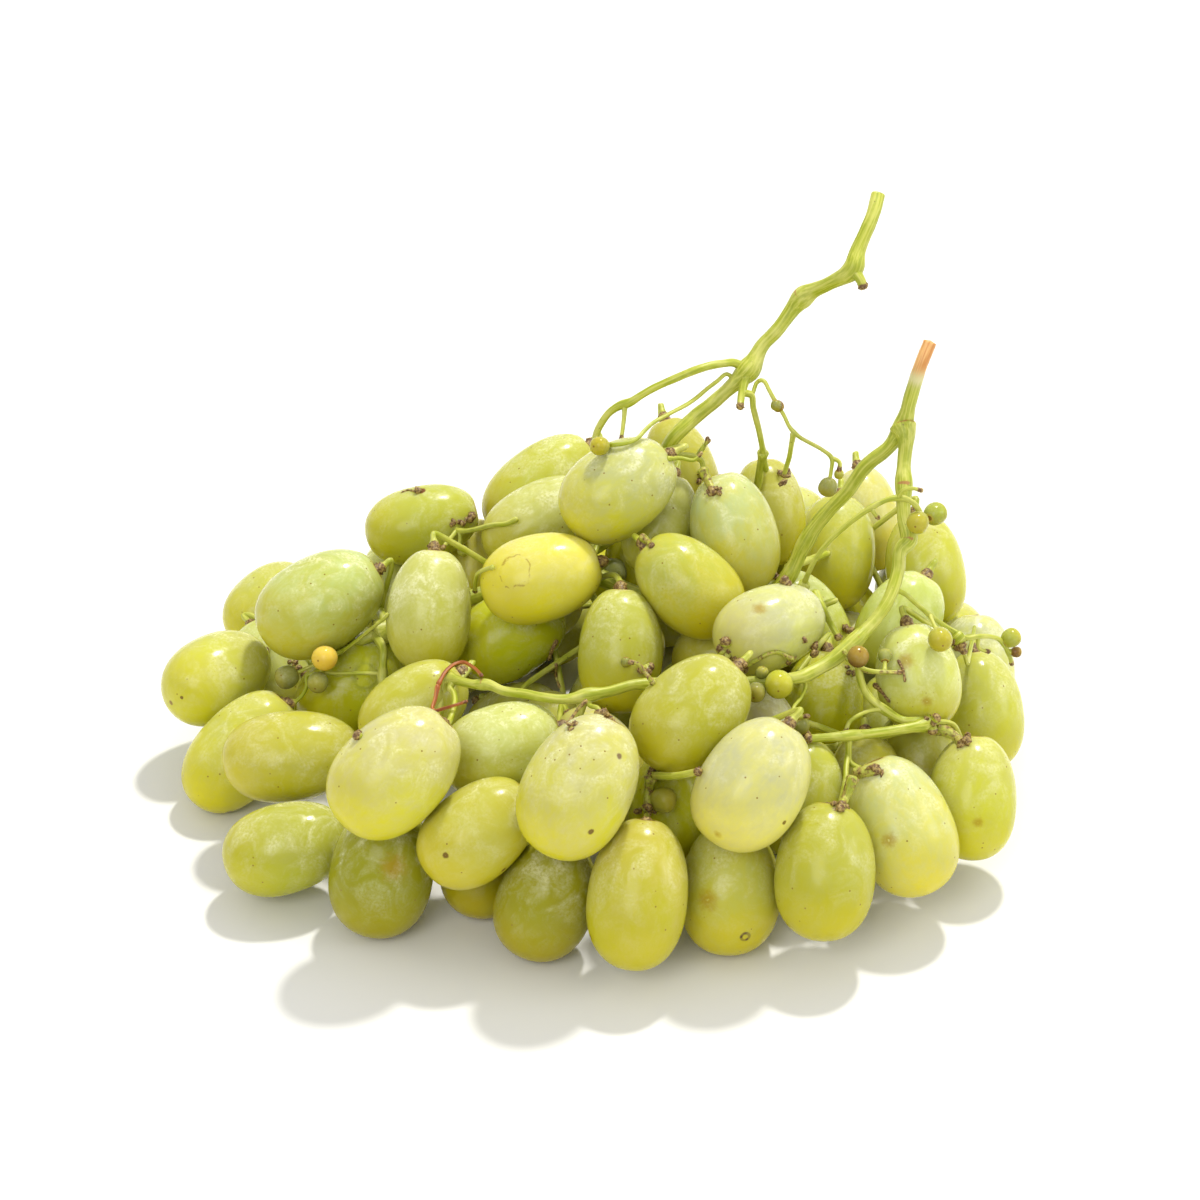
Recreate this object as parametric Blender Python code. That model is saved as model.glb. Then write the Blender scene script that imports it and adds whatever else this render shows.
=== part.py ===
"""A bunch of long white table grapes lying in a heap: a forked main stem and the sprays of berries on it.

Each spray is one solid: its side stem, its pedicels, its berries and its undeveloped shot berries grown
together. The layout is worked out here from what one view shows. Every berry that is seen has its place in
that view, its height above the surface, its size and the turn of its long axis. Berries that the view hides
have a place in the heap. A relaxation then moves them apart, mostly along the line of sight.
"""

import math
from dataclasses import dataclass, field

import bmesh
import bpy
import numpy as np
from mathutils import Matrix, Vector

MM = 0.001
TINY = 1e-9

# The view that the places were read in: a camera in front of the heap, looking down on it.
VIEW_ELEVATION = math.radians(32.5)
VIEW_DISTANCE = 800.0
VIEW_AIM = np.array([0.0, 0.0, 42.8])
VIEW_FOCAL_PX = 3808.0
VIEW_CENTRE_PX = 600.0

# The middle that the stem ends of hidden berries lean to, and how much of the rise they keep.
HEAP_MIDDLE = np.array([0.0, 10.0, 42.0])
INNER_RISE = 0.6

# The form of a berry: a full oval, a little narrower at its stem end.
BERRY_FULLNESS = 2.2
BERRY_TAPER = 0.07
BERRY_SIDES = 8
BERRY_RINGS = 6
CHAIN_SPHERES = 5
CHAIN_REACH = 0.55
PROFILE_STEPS = 60

# How the heap settles.
BERRY_GAP = 0.45
STEM_GAP = 0.55
FLAT_DEPTH = 0.45
SETTLE_ROUNDS = 10
SETTLE_STEPS = 60
SETTLE_SHARE = 0.7
OFF_STEM_SHARE = 0.5
SIDEWAYS_SHARE = 0.35
HOLD_TO_VIEW = 0.16
HOLD_DEPTH = 0.016
HOLD_HIDDEN = 0.004
ORDER_SLOPE = 0.45
FRONT_GIVE = 0.5
HIDDEN_RANK = 100
CONTACT_REACH = 32.0
STEM_REACH = 19.0

# The stems.
PEDICEL_WIDTH = 1.3
PEDICEL_LENGTH = 3.0
PEDICEL_DIVE = 3.0
SIDE_STEM_WIDTH = 1.9
STEM_SINK = 1.6
HUB_SHARE = 0.62
BARE_SHARE = 0.25
PEDICEL_BEND = 0.4
ROOT_GAP = 0.4
SHOT_STEM_WIDTH = 0.8
SHOT_SIDES = 6
SHOT_RINGS = 4
STEM_TOLERANCE = 0.4
THIN_STEM = 1.5

# How far apart the places along a stem are, in mm, and how a stem is laid and bent clear of what it meets.
ROUTE_SPACING = 0.5
FINE_SPACING = 1.0
BEAD_SPACING = 2.0
LAID_SPACING = 2.5
BENT_SPACING = 3.0
LAY_STEPS = 80
LIFT_SHARE = 0.6
EASE_SHARE = 0.25
SMOOTH_SHARE = 0.15
CLEAR_ENOUGH = 0.001

# The unions, and the slab that cuts the flat spots, in metres.
UNION_SOLVER = "MANIFOLD"
WELD_DISTANCE = 0.00001
CUTTER_SIDE = 0.4
CUTTER_DEPTH = 0.02

GREEN_SKIN = (0.58, 0.62, 0.20, 1.0)
GREEN_STEM = (0.30, 0.42, 0.10, 1.0)
SKIN_ROUGHNESS = 0.35
STEM_ROUGHNESS = 0.6


def view_axes():
    """The view's right, up and forward directions, and the place that it looks from."""
    forward = np.array([0.0, math.cos(VIEW_ELEVATION), -math.sin(VIEW_ELEVATION)])
    up = np.array([0.0, math.sin(VIEW_ELEVATION), math.cos(VIEW_ELEVATION)])
    right = np.array([1.0, 0.0, 0.0])
    return right, up, forward, VIEW_AIM - forward * VIEW_DISTANCE


RIGHT, UP, FORWARD, VIEW_EYE = view_axes()


def sight_line(u, v):
    """Unit direction of the line of sight through one pixel of the view."""
    line = FORWARD + RIGHT * (u - VIEW_CENTRE_PX) / VIEW_FOCAL_PX - UP * (v - VIEW_CENTRE_PX) / VIEW_FOCAL_PX
    return line / np.linalg.norm(line)


def point_seen(u, v, height):
    """The point at this height, in mm, that the view shows at pixel u, v."""
    line = sight_line(u, v)
    return VIEW_EYE + line * (height - VIEW_EYE[2]) / line[2]


def turned_axis(roll, nod):
    """Direction of a berry's stem end: roll is its angle in the view, nod how far it leans to the viewer."""
    roll, nod = math.radians(roll), math.radians(nod)
    flat = RIGHT * math.cos(roll) + UP * math.sin(roll)
    return flat * math.cos(nod) - FORWARD * math.sin(nod)


@dataclass
class Berry:
    """One grape: its centre, long axis, size in mm, and its rank from the front where berries overlap."""

    centre: np.ndarray
    axis: np.ndarray
    length: float
    width: float
    rank: int


def seen(rank, u, v, height, length, width, roll, nod=0.0):
    """A berry that the view shows with its middle at pixel u, v; a lower rank covers a higher one."""
    return Berry(point_seen(u, v, height), turned_axis(roll, nod), length, width, rank)


def inner(x, y, z, length, width, turn):
    """A berry that the view hides: its stem end leans to the heap's middle, swung round by turn degrees."""
    place = np.array([x, y, z], float)
    lean = (HEAP_MIDDLE - place) * np.array([1.0, 1.0, INNER_RISE])
    swing = math.radians(turn)
    axis = np.array(
        [
            lean[0] * math.cos(swing) - lean[1] * math.sin(swing),
            lean[0] * math.sin(swing) + lean[1] * math.cos(swing),
            lean[2],
        ]
    )
    return Berry(place, axis / np.linalg.norm(axis), length, width, HIDDEN_RANK)


@dataclass
class Stem:
    """A stem's route in mm, with its width at each end."""

    points: np.ndarray
    width_start: float
    width_end: float
    joins: int = -1
    off_main: bool = False


def seen_stem(width_start, width_end, *places, joins=-1, off_main=False):
    """A stem whose places are (pixel u, pixel v, height in mm).

    It may end in the spray's berry number joins. It leaves the main stem if off_main is set, and otherwise
    starts on the nearest stem of its own spray.
    """
    points = np.array([point_seen(*place) for place in places])
    return Stem(points, width_start, width_end, joins, off_main)


@dataclass
class Shot:
    """An undeveloped berry, round, at the tip of a thin stem."""

    centre: np.ndarray
    width: float


def shot(u, v, height, width):
    """A shot berry that the view shows at pixel u, v."""
    return Shot(point_seen(u, v, height), width)


@dataclass
class Spray:
    """One side branch: berries, the stems that are seen, shot berries, and where it leaves the main stem."""

    name: str
    root: np.ndarray
    berries: list
    stems: list = field(default_factory=list)
    shots: list = field(default_factory=list)
    joints: np.ndarray = None


def main_stem_of_the_bunch():
    """The main stem: the rear stalk, its run inside the heap, the forked front stalk, and the shot berries."""
    rear = [
        point_seen(*place)
        for place in (
            (878, 195, 115),
            (872, 217, 112),
            (858, 250, 106.5),
            (852, 270, 103),
            (830, 283, 99),
            (803, 297, 94),
            (778, 329, 87.5),
            (762, 346, 84),
            (748, 370, 79.5),
            (716, 400, 73.5),
            (695, 417, 70),
            (672, 440, 66),
        )
    ]
    rear += [np.array(place, float) for place in ((13, 33, 56), (8, 31, 45), (-6, 25, 37), (-26, 16, 34), (-48, 8, 29))]
    left_leg = [
        point_seen(*place)
        for place in (
            (930, 342, 95),
            (920, 367, 90.5),
            (911, 396, 84),
            (903, 425, 77.5),
            (889, 447, 73),
            (866, 466, 68.5),
            (847, 492, 62.5),
            (831, 508, 58.5),
            (815, 527, 54),
            (804, 545, 50),
        )
    ]
    left_leg += [np.array(place, float) for place in ((38, 8, 41), (26, 8, 35), (8, 15, 35), (-7, 25, 37))]
    right_leg = [
        point_seen(*place)
        for place in (
            (903, 425, 77.5),
            (906, 441, 75.5),
            (904, 466, 72),
            (904, 490, 68.5),
            (904, 517, 64.5),
            (909, 539, 61),
            (900, 552, 59),
            (898, 571, 56.5),
            (890, 597, 53),
            (876, 619, 50),
            (857, 639, 47.5),
            (841, 653, 46),
            (831, 661, 45),
            (810, 673, 44),
            (795, 678, 43.5),
            (750, 682, 42),
            (700, 683, 42.5),
            (651, 684, 44),
            (632, 685, 44.5),
            (611, 691, 44),
            (589, 695, 43.5),
            (568, 699, 43),
            (547, 698, 43),
            (525, 694, 42.5),
            (504, 691, 42),
            (489, 685, 42),
            (472, 684, 41),
            (448, 678, 39),
        )
    ]
    stub = [point_seen(852, 269, 103.2), point_seen(860, 279, 102), point_seen(864, 289, 100)]
    knot_stub = [point_seen(747, 372, 79.3), point_seen(742, 393, 76.5), point_seen(740, 409, 74.5)]
    stems = [
        Stem(np.array(rear), 3.0, 3.2),
        Stem(np.array(left_leg), 2.9, 3.2),
        Stem(np.array(right_leg), 3.0, 1.8),
        Stem(np.array(stub), 2.0, 1.8),
        Stem(np.array(knot_stub), 2.0, 1.4),
    ]
    shots = [shot(779, 684, 43, 6.0), shot(762, 673, 44, 2.8), shot(756, 692, 42, 4.2)]
    return Spray("main_stem", HEAP_MIDDLE, [], stems, shots)


def sprays_of_the_bunch():
    """Every spray: where it leaves the main stem, its berries, and the stems and shot berries seen on it."""
    return [
        Spray(
            "spray_top",
            point_seen(592, 458, 59),
            [
                seen(0, 619, 498, 55, 26.5, 19.5, 35),
                seen(2, 540, 492, 43, 29, 18, 40),
                seen(2, 545, 530, 39, 27, 17, 30),
                inner(-16, 48, 22, 25, 17, 20),
                inner(-8, 60, 10, 26, 17.5, -25),
            ],
            [
                seen_stem(
                    1.8,
                    1.5,
                    (735, 363, 81),
                    (719, 364, 82),
                    (699, 369, 82),
                    (674, 379, 80),
                    (650, 390, 77.5),
                    (627, 404, 74),
                    (614, 408, 72.5),
                    (603, 421, 69.5),
                    (596, 434, 66.5),
                    (596, 447, 63.5),
                    (590, 462, 57),
                    off_main=True,
                ),
                seen_stem(
                    0.9,
                    0.9,
                    (599, 446, 64.5),
                    (612, 445, 66),
                    (627, 443, 67),
                    (638, 438, 68),
                    (650, 425, 70.5),
                    (667, 415, 72.5),
                    (691, 402, 75),
                    (708, 388, 77),
                    (727, 374, 79),
                ),
                seen_stem(1.0, 0.8, (625, 409, 73), (623, 427, 70), (621, 441, 67.5)),
            ],
            [shot(600, 446, 66, 4.2)],
        ),
        Spray(
            "spray_top_rear",
            point_seen(674, 450, 63.5),
            [
                seen(4, 682, 472, 47, 25, 15.5, 108),
                seen(3, 658, 515, 44, 23, 15.5, 75),
                seen(1, 731, 540, 46, 26.5, 18.5, 104),
                inner(14, 56, 26, 25, 17, 15),
                inner(8, 48, 11, 25, 17, -30),
                inner(20, 68, 10, 26, 17, 30),
            ],
            [
                seen_stem(
                    1.2,
                    1.1,
                    (672, 455, 63),
                    (699, 457, 61.5),
                    (701, 466, 59.5),
                    (708, 483, 56.5),
                    (712, 492, 55),
                    joins=2,
                ),
                seen_stem(0.9, 0.8, (699, 457, 61.5), (702, 448, 63), (710, 439, 64.5)),
            ],
        ),
        Spray(
            "spray_top_right",
            point_seen(763, 453, 62),
            [
                seen(2, 768, 512, 42, 24, 16, 95),
                inner(40, 58, 24, 25, 17, -20),
                inner(44, 64, 10, 25, 17, 25),
                inner(30, 42, 11, 24, 17, 0),
            ],
            [
                seen_stem(
                    1.3,
                    1.2,
                    (750, 381, 78.5),
                    (753, 406, 73.5),
                    (759, 430, 68),
                    (763, 451, 62.5),
                    (766, 470, 56),
                    joins=0,
                    off_main=True,
                ),
                seen_stem(
                    0.9,
                    0.8,
                    (760, 376, 79),
                    (768, 387, 77.5),
                    (773, 398, 75.5),
                    (778, 406, 74),
                    (785, 417, 72),
                    (793, 432, 69.5),
                    (812, 444, 68),
                    (832, 457, 66),
                    (831, 470, 63.5),
                    (829, 484, 61),
                ),
                seen_stem(1.1, 1.0, (793, 432, 69.5), (790, 455, 64), (786, 468, 61), (784, 477, 58)),
                seen_stem(0.8, 0.8, (832, 457, 66), (839, 457, 66), (839, 472, 63)),
            ],
            [shot(828, 487, 60.5, 4.2), shot(778, 406, 74, 2.6), shot(839, 474, 62.5, 2.2)],
        ),
        Spray(
            "spray_rear_right",
            np.array([40.0, 14.0, 42.0]),
            [
                seen(2, 835, 555, 33, 26, 18.5, 84),
                seen(4, 866, 520, 30, 24, 15.5, 100),
                seen(3, 926, 570, 27, 25.5, 17.5, 100),
                inner(66, 52, 11, 25, 17, 35),
                inner(54, 44, 12, 24, 16.5, -30),
            ],
        ),
        Spray(
            "spray_right_upper",
            point_seen(804, 585, 48.5),
            [
                seen(3, 798, 604, 28, 24, 17, 120),
                seen(6, 838, 632, 22, 22, 15.5, 90),
            ],
            [
                seen_stem(
                    1.2,
                    1.0,
                    (910, 533, 62),
                    (920, 532, 62),
                    (927, 520, 65),
                    (925, 507, 67.5),
                    (916, 496, 70),
                    (903, 490, 72),
                    (888, 494, 71),
                    (874, 505, 68.5),
                    (856, 517, 65.5),
                    (839, 531, 62),
                    (822, 545, 58.5),
                    (812, 562, 54.5),
                    (805, 577, 50.5),
                    (803, 592, 46),
                    joins=0,
                    off_main=True,
                ),
                seen_stem(0.9, 0.8, (903, 490, 72), (912, 488, 72.5), (923, 491, 72)),
                seen_stem(0.8, 0.8, (869, 508, 68), (875, 514, 66.5), (879, 519, 65)),
            ],
            [shot(918, 522, 63, 4.8), shot(935, 514, 64, 5.0)],
        ),
        Spray(
            "spray_right",
            point_seen(958, 638, 42.5),
            [
                seen(3, 982, 710, 15, 26, 18, 97),
                seen(5, 975, 668, 14, 24, 17, 90),
                seen(3, 912, 690, 28, 23, 17.5, 100),
                inner(70, 35, 10, 24, 16.5, 60),
            ],
            [
                seen_stem(
                    1.0,
                    0.9,
                    (898, 588, 54.5),
                    (918, 605, 50.5),
                    (935, 619, 47),
                    (952, 630, 44),
                    (967, 638, 41.5),
                    (982, 636, 41),
                    (999, 639, 39),
                    (1008, 652, 35),
                    (1012, 665, 31),
                    off_main=True,
                ),
                seen_stem(0.8, 0.8, (978, 637, 41), (978, 648, 38.5), (990, 652, 37)),
                seen_stem(0.9, 0.9, (957, 634, 43), (951, 640, 41), (944, 640, 40)),
                seen_stem(0.9, 0.9, (957, 640, 42), (962, 650, 38), (968, 662, 32), joins=1),
            ],
            [shot(940, 639, 39.5, 5.2), shot(1011, 638, 38.5, 4.2), shot(1016, 652, 35, 2.4)],
        ),
        Spray(
            "spray_right_inner",
            point_seen(840, 655, 45.5),
            [
                seen(5, 889, 628, 26, 24, 17, 60),
                seen(5, 893, 722, 22, 23, 15.5, 95),
                inner(58, 24, 12, 25, 17, -35),
                inner(62, 0, 10, 25, 17, 30),
            ],
            [
                seen_stem(
                    0.9,
                    0.8,
                    (846, 656, 46),
                    (856, 669, 43.5),
                    (874, 674, 42),
                    (891, 672, 42),
                    (903, 672, 41),
                ),
            ],
            [shot(858, 657, 43, 4.6), shot(885, 656, 40, 3.0)],
        ),
        Spray(
            "spray_right_front",
            point_seen(925, 725, 33),
            [
                seen(2, 959, 797, 14, 26, 18.5, 88),
                seen(4, 921, 762, 17, 24, 16.5, 95),
                seen(1, 898, 825, 15, 29.5, 21, 112),
                seen(0, 827, 869, 14, 28, 20, 86),
                seen(2, 866, 790, 22, 24, 16, 90),
                seen(3, 806, 795, 24, 23, 15.5, 90),
                inner(40, -30, 11, 24, 17, -20),
            ],
            [
                seen_stem(
                    1.7,
                    1.7,
                    (858, 650, 46.5),
                    (860, 677, 41),
                    (869, 697, 37),
                    (884, 709, 35),
                    (901, 720, 33),
                    (918, 721, 33),
                    (931, 723, 32.5),
                    off_main=True,
                ),
                seen_stem(
                    2.3,
                    1.7,
                    (936, 725, 33),
                    (925, 726, 33.5),
                    (901, 729, 33),
                    (876, 734, 32.5),
                    (848, 736, 32.5),
                    (822, 738, 32),
                    (805, 739, 31.5),
                ),
                seen_stem(0.9, 0.9, (884, 709, 35), (869, 711, 35.5), (850, 721, 34.5), (845, 735, 32.5)),
                seen_stem(1.1, 1.0, (933, 723, 32.5), (950, 722, 31.5), (959, 733, 29), (962, 748, 26), joins=0),
                seen_stem(1.1, 1.0, (850, 762, 29.5), (860, 768, 28.5), (869, 771, 27.5), (880, 774, 26.5), joins=2),
                seen_stem(
                    1.2,
                    1.1,
                    (848, 737, 32.5),
                    (848, 750, 31),
                    (846, 769, 29.5),
                    (845, 786, 28),
                    (841, 799, 26.5),
                    (839, 812, 25),
                    joins=3,
                ),
            ],
        ),
        Spray(
            "spray_right_centre",
            point_seen(812, 676, 43),
            [
                seen(3, 818, 712, 31, 24, 17.5, 85),
                seen(3, 765, 742, 30, 22, 15, 95),
            ],
            [
                seen_stem(0.8, 0.8, (800, 700, 40), (790, 715, 38.5), (810, 716, 39)),
            ],
            [shot(800, 725, 35, 4.0)],
        ),
        Spray(
            "spray_centre",
            np.array([22.0, 8.0, 36.0]),
            [
                seen(0, 769, 630, 42, 24.5, 17.5, 22, -20),
                seen(3, 722, 645, 34, 23, 16, 20),
                seen(0, 691, 587, 43, 25.5, 18, 138),
                inner(32, 24, 22, 24, 16, 30),
                inner(20, -6, 18, 24, 16, -30),
                inner(36, 8, 10, 25, 17, 60),
            ],
        ),
        Spray(
            "spray_centre_left",
            np.array([-6.0, 17.0, 42.0]),
            [
                seen(2, 620, 650, 38, 26.5, 17.5, 88),
                seen(5, 640, 560, 32, 22, 15.5, 90),
                inner(-8, -14, 18, 23, 15.5, 60),
                inner(0, 4, 12, 25, 17, -50),
                inner(6, 26, 14, 24, 16.5, 40),
            ],
        ),
        Spray(
            "spray_top_left",
            np.array([-22.0, 18.0, 40.0]),
            [
                seen(1, 548, 576, 43, 26, 18.5, 15),
                seen(2, 508, 628, 37, 25, 18.5, 30),
                seen(1, 432, 611, 37, 26.5, 18, 86),
                inner(-24, 30, 20, 25, 17, 25),
                inner(-22, 6, 12, 25, 17, -40),
                inner(-9, 41, 9, 23, 15, 70),
            ],
            [
                seen_stem(0.9, 0.9, (495, 567, 46), (478, 573, 45), (475, 592, 41)),
            ],
        ),
        Spray(
            "spray_rear_left",
            np.array([-34.0, 14.0, 36.0]),
            [
                seen(1, 422, 526, 31, 25.5, 17, 15),
                seen(3, 480, 568, 27, 24, 17, 100),
                inner(-34, 56, 11, 25, 17, 25),
                inner(-36, 36, 11, 24, 17, -30),
            ],
            [
                seen_stem(
                    1.1,
                    1.1,
                    (517, 523, 47),
                    (493, 525, 44),
                    (472, 530, 41),
                    (458, 531, 39),
                    (448, 526, 38),
                    joins=0,
                ),
                seen_stem(0.9, 0.9, (455, 533, 39), (449, 540, 39), (442, 549, 39)),
                seen_stem(0.8, 0.8, (460, 533, 39), (460, 541, 38), (459, 550, 37)),
            ],
            [shot(463, 551, 36, 2.6)],
        ),
        Spray(
            "spray_left_upper",
            np.array([-46.0, 9.0, 31.5]),
            [
                seen(1, 324, 608, 29, 29, 20.5, 30),
                seen(4, 270, 606, 14, 23, 17, 45, -20),
                seen(5, 393, 592, 22, 24, 16.5, 90),
                inner(-54, 44, 10, 25, 17, 30),
            ],
            [
                seen_stem(
                    0.7,
                    0.7,
                    (396, 611, 36),
                    (370, 629, 31),
                    (351, 646, 28),
                    (340, 656, 26),
                    (328, 659, 25),
                ),
            ],
            [shot(325, 658, 24, 5.6), shot(318, 682, 22, 4.6), shot(287, 677, 22, 5.2)],
        ),
        Spray(
            "spray_left_low",
            np.array([-50.0, 6.0, 29.0]),
            [
                seen(1, 222, 680, 14, 26, 18.5, 30, -35),
                seen(3, 275, 675, 13, 25, 17.5, 120, -20),
                seen(2, 352, 682, 20, 27.5, 19, 45),
                inner(-54, 16, 10, 25, 17, -30),
            ],
        ),
        Spray(
            "spray_left_front",
            np.array([-46.0, 2.0, 29.0]),
            [
                seen(1, 240, 758, 12, 29.5, 18.5, 50),
                seen(0, 291, 755, 16, 29, 19, 5),
                inner(-44, -8, 11, 24, 17, 40),
            ],
            [
                seen_stem(0.8, 0.8, (312, 674, 24), (305, 690, 22), (297, 702, 21), joins=0),
            ],
        ),
        Spray(
            "spray_front_left",
            point_seen(446, 681, 38),
            [
                seen(0, 396, 777, 31, 29.5, 21.5, 45),
                seen(3, 412, 712, 27, 25, 17.5, 38),
                seen(1, 288, 848, 12, 26.5, 18.5, 15),
                seen(1, 387, 886, 13, 28, 21, 80, 18),
                seen(4, 487, 866, 12, 24, 17.5, 80),
            ],
            [
                seen_stem(
                    1.3,
                    1.2,
                    (452, 688, 38.5),
                    (455, 700, 38),
                    (453, 710, 37.5),
                    (449, 722, 37),
                    joins=0,
                ),
            ],
        ),
        Spray(
            "spray_front_centre",
            point_seen(587, 698, 43),
            [
                seen(2, 503, 750, 31, 25.5, 18.5, 20),
                seen(1, 482, 828, 25, 26, 18.5, 40),
                seen(0, 575, 788, 34, 30, 21.5, 63),
                seen(3, 548, 903, 13, 26, 19.5, 70, 15),
                inner(2, -30, 22, 23, 15.5, 30),
                inner(-20, -38, 11, 24, 17, 20),
            ],
            [
                seen_stem(1.0, 0.9, (594, 704, 43), (600, 712, 42.5), (603, 722, 42), joins=2),
            ],
        ),
        Spray(
            "spray_front_low",
            point_seen(690, 688, 41),
            [
                seen(1, 630, 892, 15, 30.5, 20, 84),
                seen(0, 691, 712, 40, 27, 20, 45),
                seen(0, 750, 786, 33, 28, 21, 58),
                seen(2, 729, 890, 14, 27, 20, 88),
                seen(4, 672, 810, 22, 24, 16.5, 90),
                inner(10, -34, 12, 24, 17, -20),
            ],
            [
                seen_stem(
                    1.2,
                    1.2,
                    (651, 775, 30),
                    (650, 787, 29),
                    (646, 802, 27.5),
                    (647, 814, 26),
                    joins=0,
                ),
                seen_stem(1.7, 1.5, (651, 775, 30), (675, 776, 31), (700, 771, 32)),
            ],
            [shot(663, 800, 27, 5.4)],
        ),
    ]


def tendril_of_the_bunch():
    """The dried tendril that curls on the heap's left front, and its hooked branch."""
    stems = [
        seen_stem(0.9, 0.7, (438, 685, 40), (447, 670, 41), (461, 662, 41), (474, 668, 42), (482, 676, 43)),
        seen_stem(0.9, 0.6, (438, 685, 40), (434, 704, 38), (432, 711, 37.5), (449, 707, 39), (468, 701, 40.5)),
    ]
    return Spray("dried_tendril", HEAP_MIDDLE, [], stems)


def berry_profile(length, width, steps):
    """Distances along and from a berry's long axis, from its stem end round to its blossom end."""
    turn = np.linspace(0.0, math.pi, steps + 1)
    power = 2.0 / BERRY_FULLNESS
    along = np.sign(np.cos(turn)) * np.abs(np.cos(turn)) ** power
    across = np.abs(np.sin(turn)) ** power * (1.0 - BERRY_TAPER * along)
    return along * length / 2.0, across * width / 2.0


def berry_chain(berry):
    """Offsets along the axis and radii of the spheres that fill a berry for the contact test."""
    along, across = berry_profile(berry.length, berry.width, PROFILE_STEPS)
    offsets = np.linspace(-CHAIN_REACH, CHAIN_REACH, CHAIN_SPHERES) * berry.length / 2.0
    radii = np.hypot(along[None, :] - offsets[:, None], across[None, :]).min(axis=1)
    return offsets, radii


def lowest_reach(berry):
    """How far a berry's lowest point is below its centre."""
    along, across = berry_profile(berry.length, berry.width, PROFILE_STEPS)
    slope = math.sqrt(max(0.0, 1.0 - berry.axis[2] ** 2))
    return float((across * slope - along * berry.axis[2]).max())


def resampled(points, spacing):
    """Points evenly along the smooth curve through a route, about this far apart."""
    fine = smooth_route(points, ROUTE_SPACING)
    along = np.concatenate([[0.0], np.cumsum(np.linalg.norm(np.diff(fine, axis=0), axis=1))])
    count = max(2, int(math.ceil(along[-1] / spacing))) + 1
    stations = np.linspace(0.0, along[-1], count)
    return np.column_stack([np.interp(stations, along, fine[:, axis]) for axis in range(3)])


def thinned(points, tolerance):
    """The fewest of these points that keep the route within the tolerance."""
    if len(points) < 3:
        return points
    chord = points[-1] - points[0]
    offset = points - points[0]
    share = np.clip(offset @ chord / max(chord @ chord, TINY), 0.0, 1.0)
    away = np.linalg.norm(offset - share[:, None] * chord, axis=1)
    worst = int(away.argmax())
    if away[worst] < tolerance:
        return points[[0, -1]]
    return np.vstack([thinned(points[: worst + 1], tolerance)[:-1], thinned(points[worst:], tolerance)])


def smooth_route(points, spacing):
    """Points along a smooth curve through the route's points, about this far apart."""
    points = np.asarray(points, float)
    padded = np.vstack([2 * points[0] - points[1], points, 2 * points[-1] - points[-2]])
    out = []
    for before, start, end, after in zip(padded, padded[1:], padded[2:], padded[3:]):
        count = max(1, int(math.ceil(np.linalg.norm(end - start) / spacing)))
        for step in np.arange(count) / count:
            out.append(
                0.5
                * (
                    2 * start
                    + (end - before) * step
                    + (2 * before - 5 * start + 4 * end - after) * step**2
                    + (3 * start - before - 3 * end + after) * step**3
                )
            )
    out.append(points[-1])
    return np.array(out)


def chain_of(stem, spacing=BEAD_SPACING):
    """Centres and radii of spheres along a stem."""
    centres = smooth_route(stem.points, spacing)
    return centres, np.linspace(stem.width_start, stem.width_end, len(centres)) / 2.0


def stem_end(berry, beyond):
    """The point this far beyond a berry's stem end, on its axis."""
    return berry.centre + berry.axis * (berry.length / 2.0 + beyond)


def nearest_of(places, point):
    """The one of these places that is nearest to the point."""
    return places[np.argmin(np.linalg.norm(places - point, axis=1))]


def hidden_stems(spray):
    """The side stem from the spray's root to its middle, and the pedicels of the berries with no stem seen."""
    hung = {stem.joins for stem in spray.stems}
    free = [berry for index, berry in enumerate(spray.berries) if index not in hung]
    if not free:
        return []
    tips = np.array([stem_end(berry, PEDICEL_LENGTH) + PEDICEL_DIVE * FORWARD for berry in free])
    middles = np.array([berry.centre for berry in free])
    hub = HUB_SHARE * tips.mean(axis=0) + (1.0 - HUB_SHARE) * middles.mean(axis=0)
    side = Stem(np.array([spray.root, 0.5 * (spray.root + hub), hub]), SIDE_STEM_WIDTH, PEDICEL_WIDTH)
    route = smooth_route(side.points, FINE_SPACING)
    leafy = route[int(len(route) * BARE_SHARE) :]
    stems = [side]
    for berry, tip in zip(free, tips):
        sunk = stem_end(berry, -STEM_SINK)
        bend = sunk + (tip - sunk) * PEDICEL_BEND
        places = np.array([sunk, bend, tip, nearest_of(leafy, tip)])
        stems.append(Stem(places, PEDICEL_WIDTH, PEDICEL_WIDTH))
    return stems


def all_chains(stems):
    """The spheres of several stems as one pair of arrays."""
    chains = [chain_of(stem) for stem in stems]
    if not chains:
        return np.zeros((0, 3)), np.zeros(0)
    return np.vstack([centres for centres, _ in chains]), np.concatenate([radii for _, radii in chains])


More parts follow.
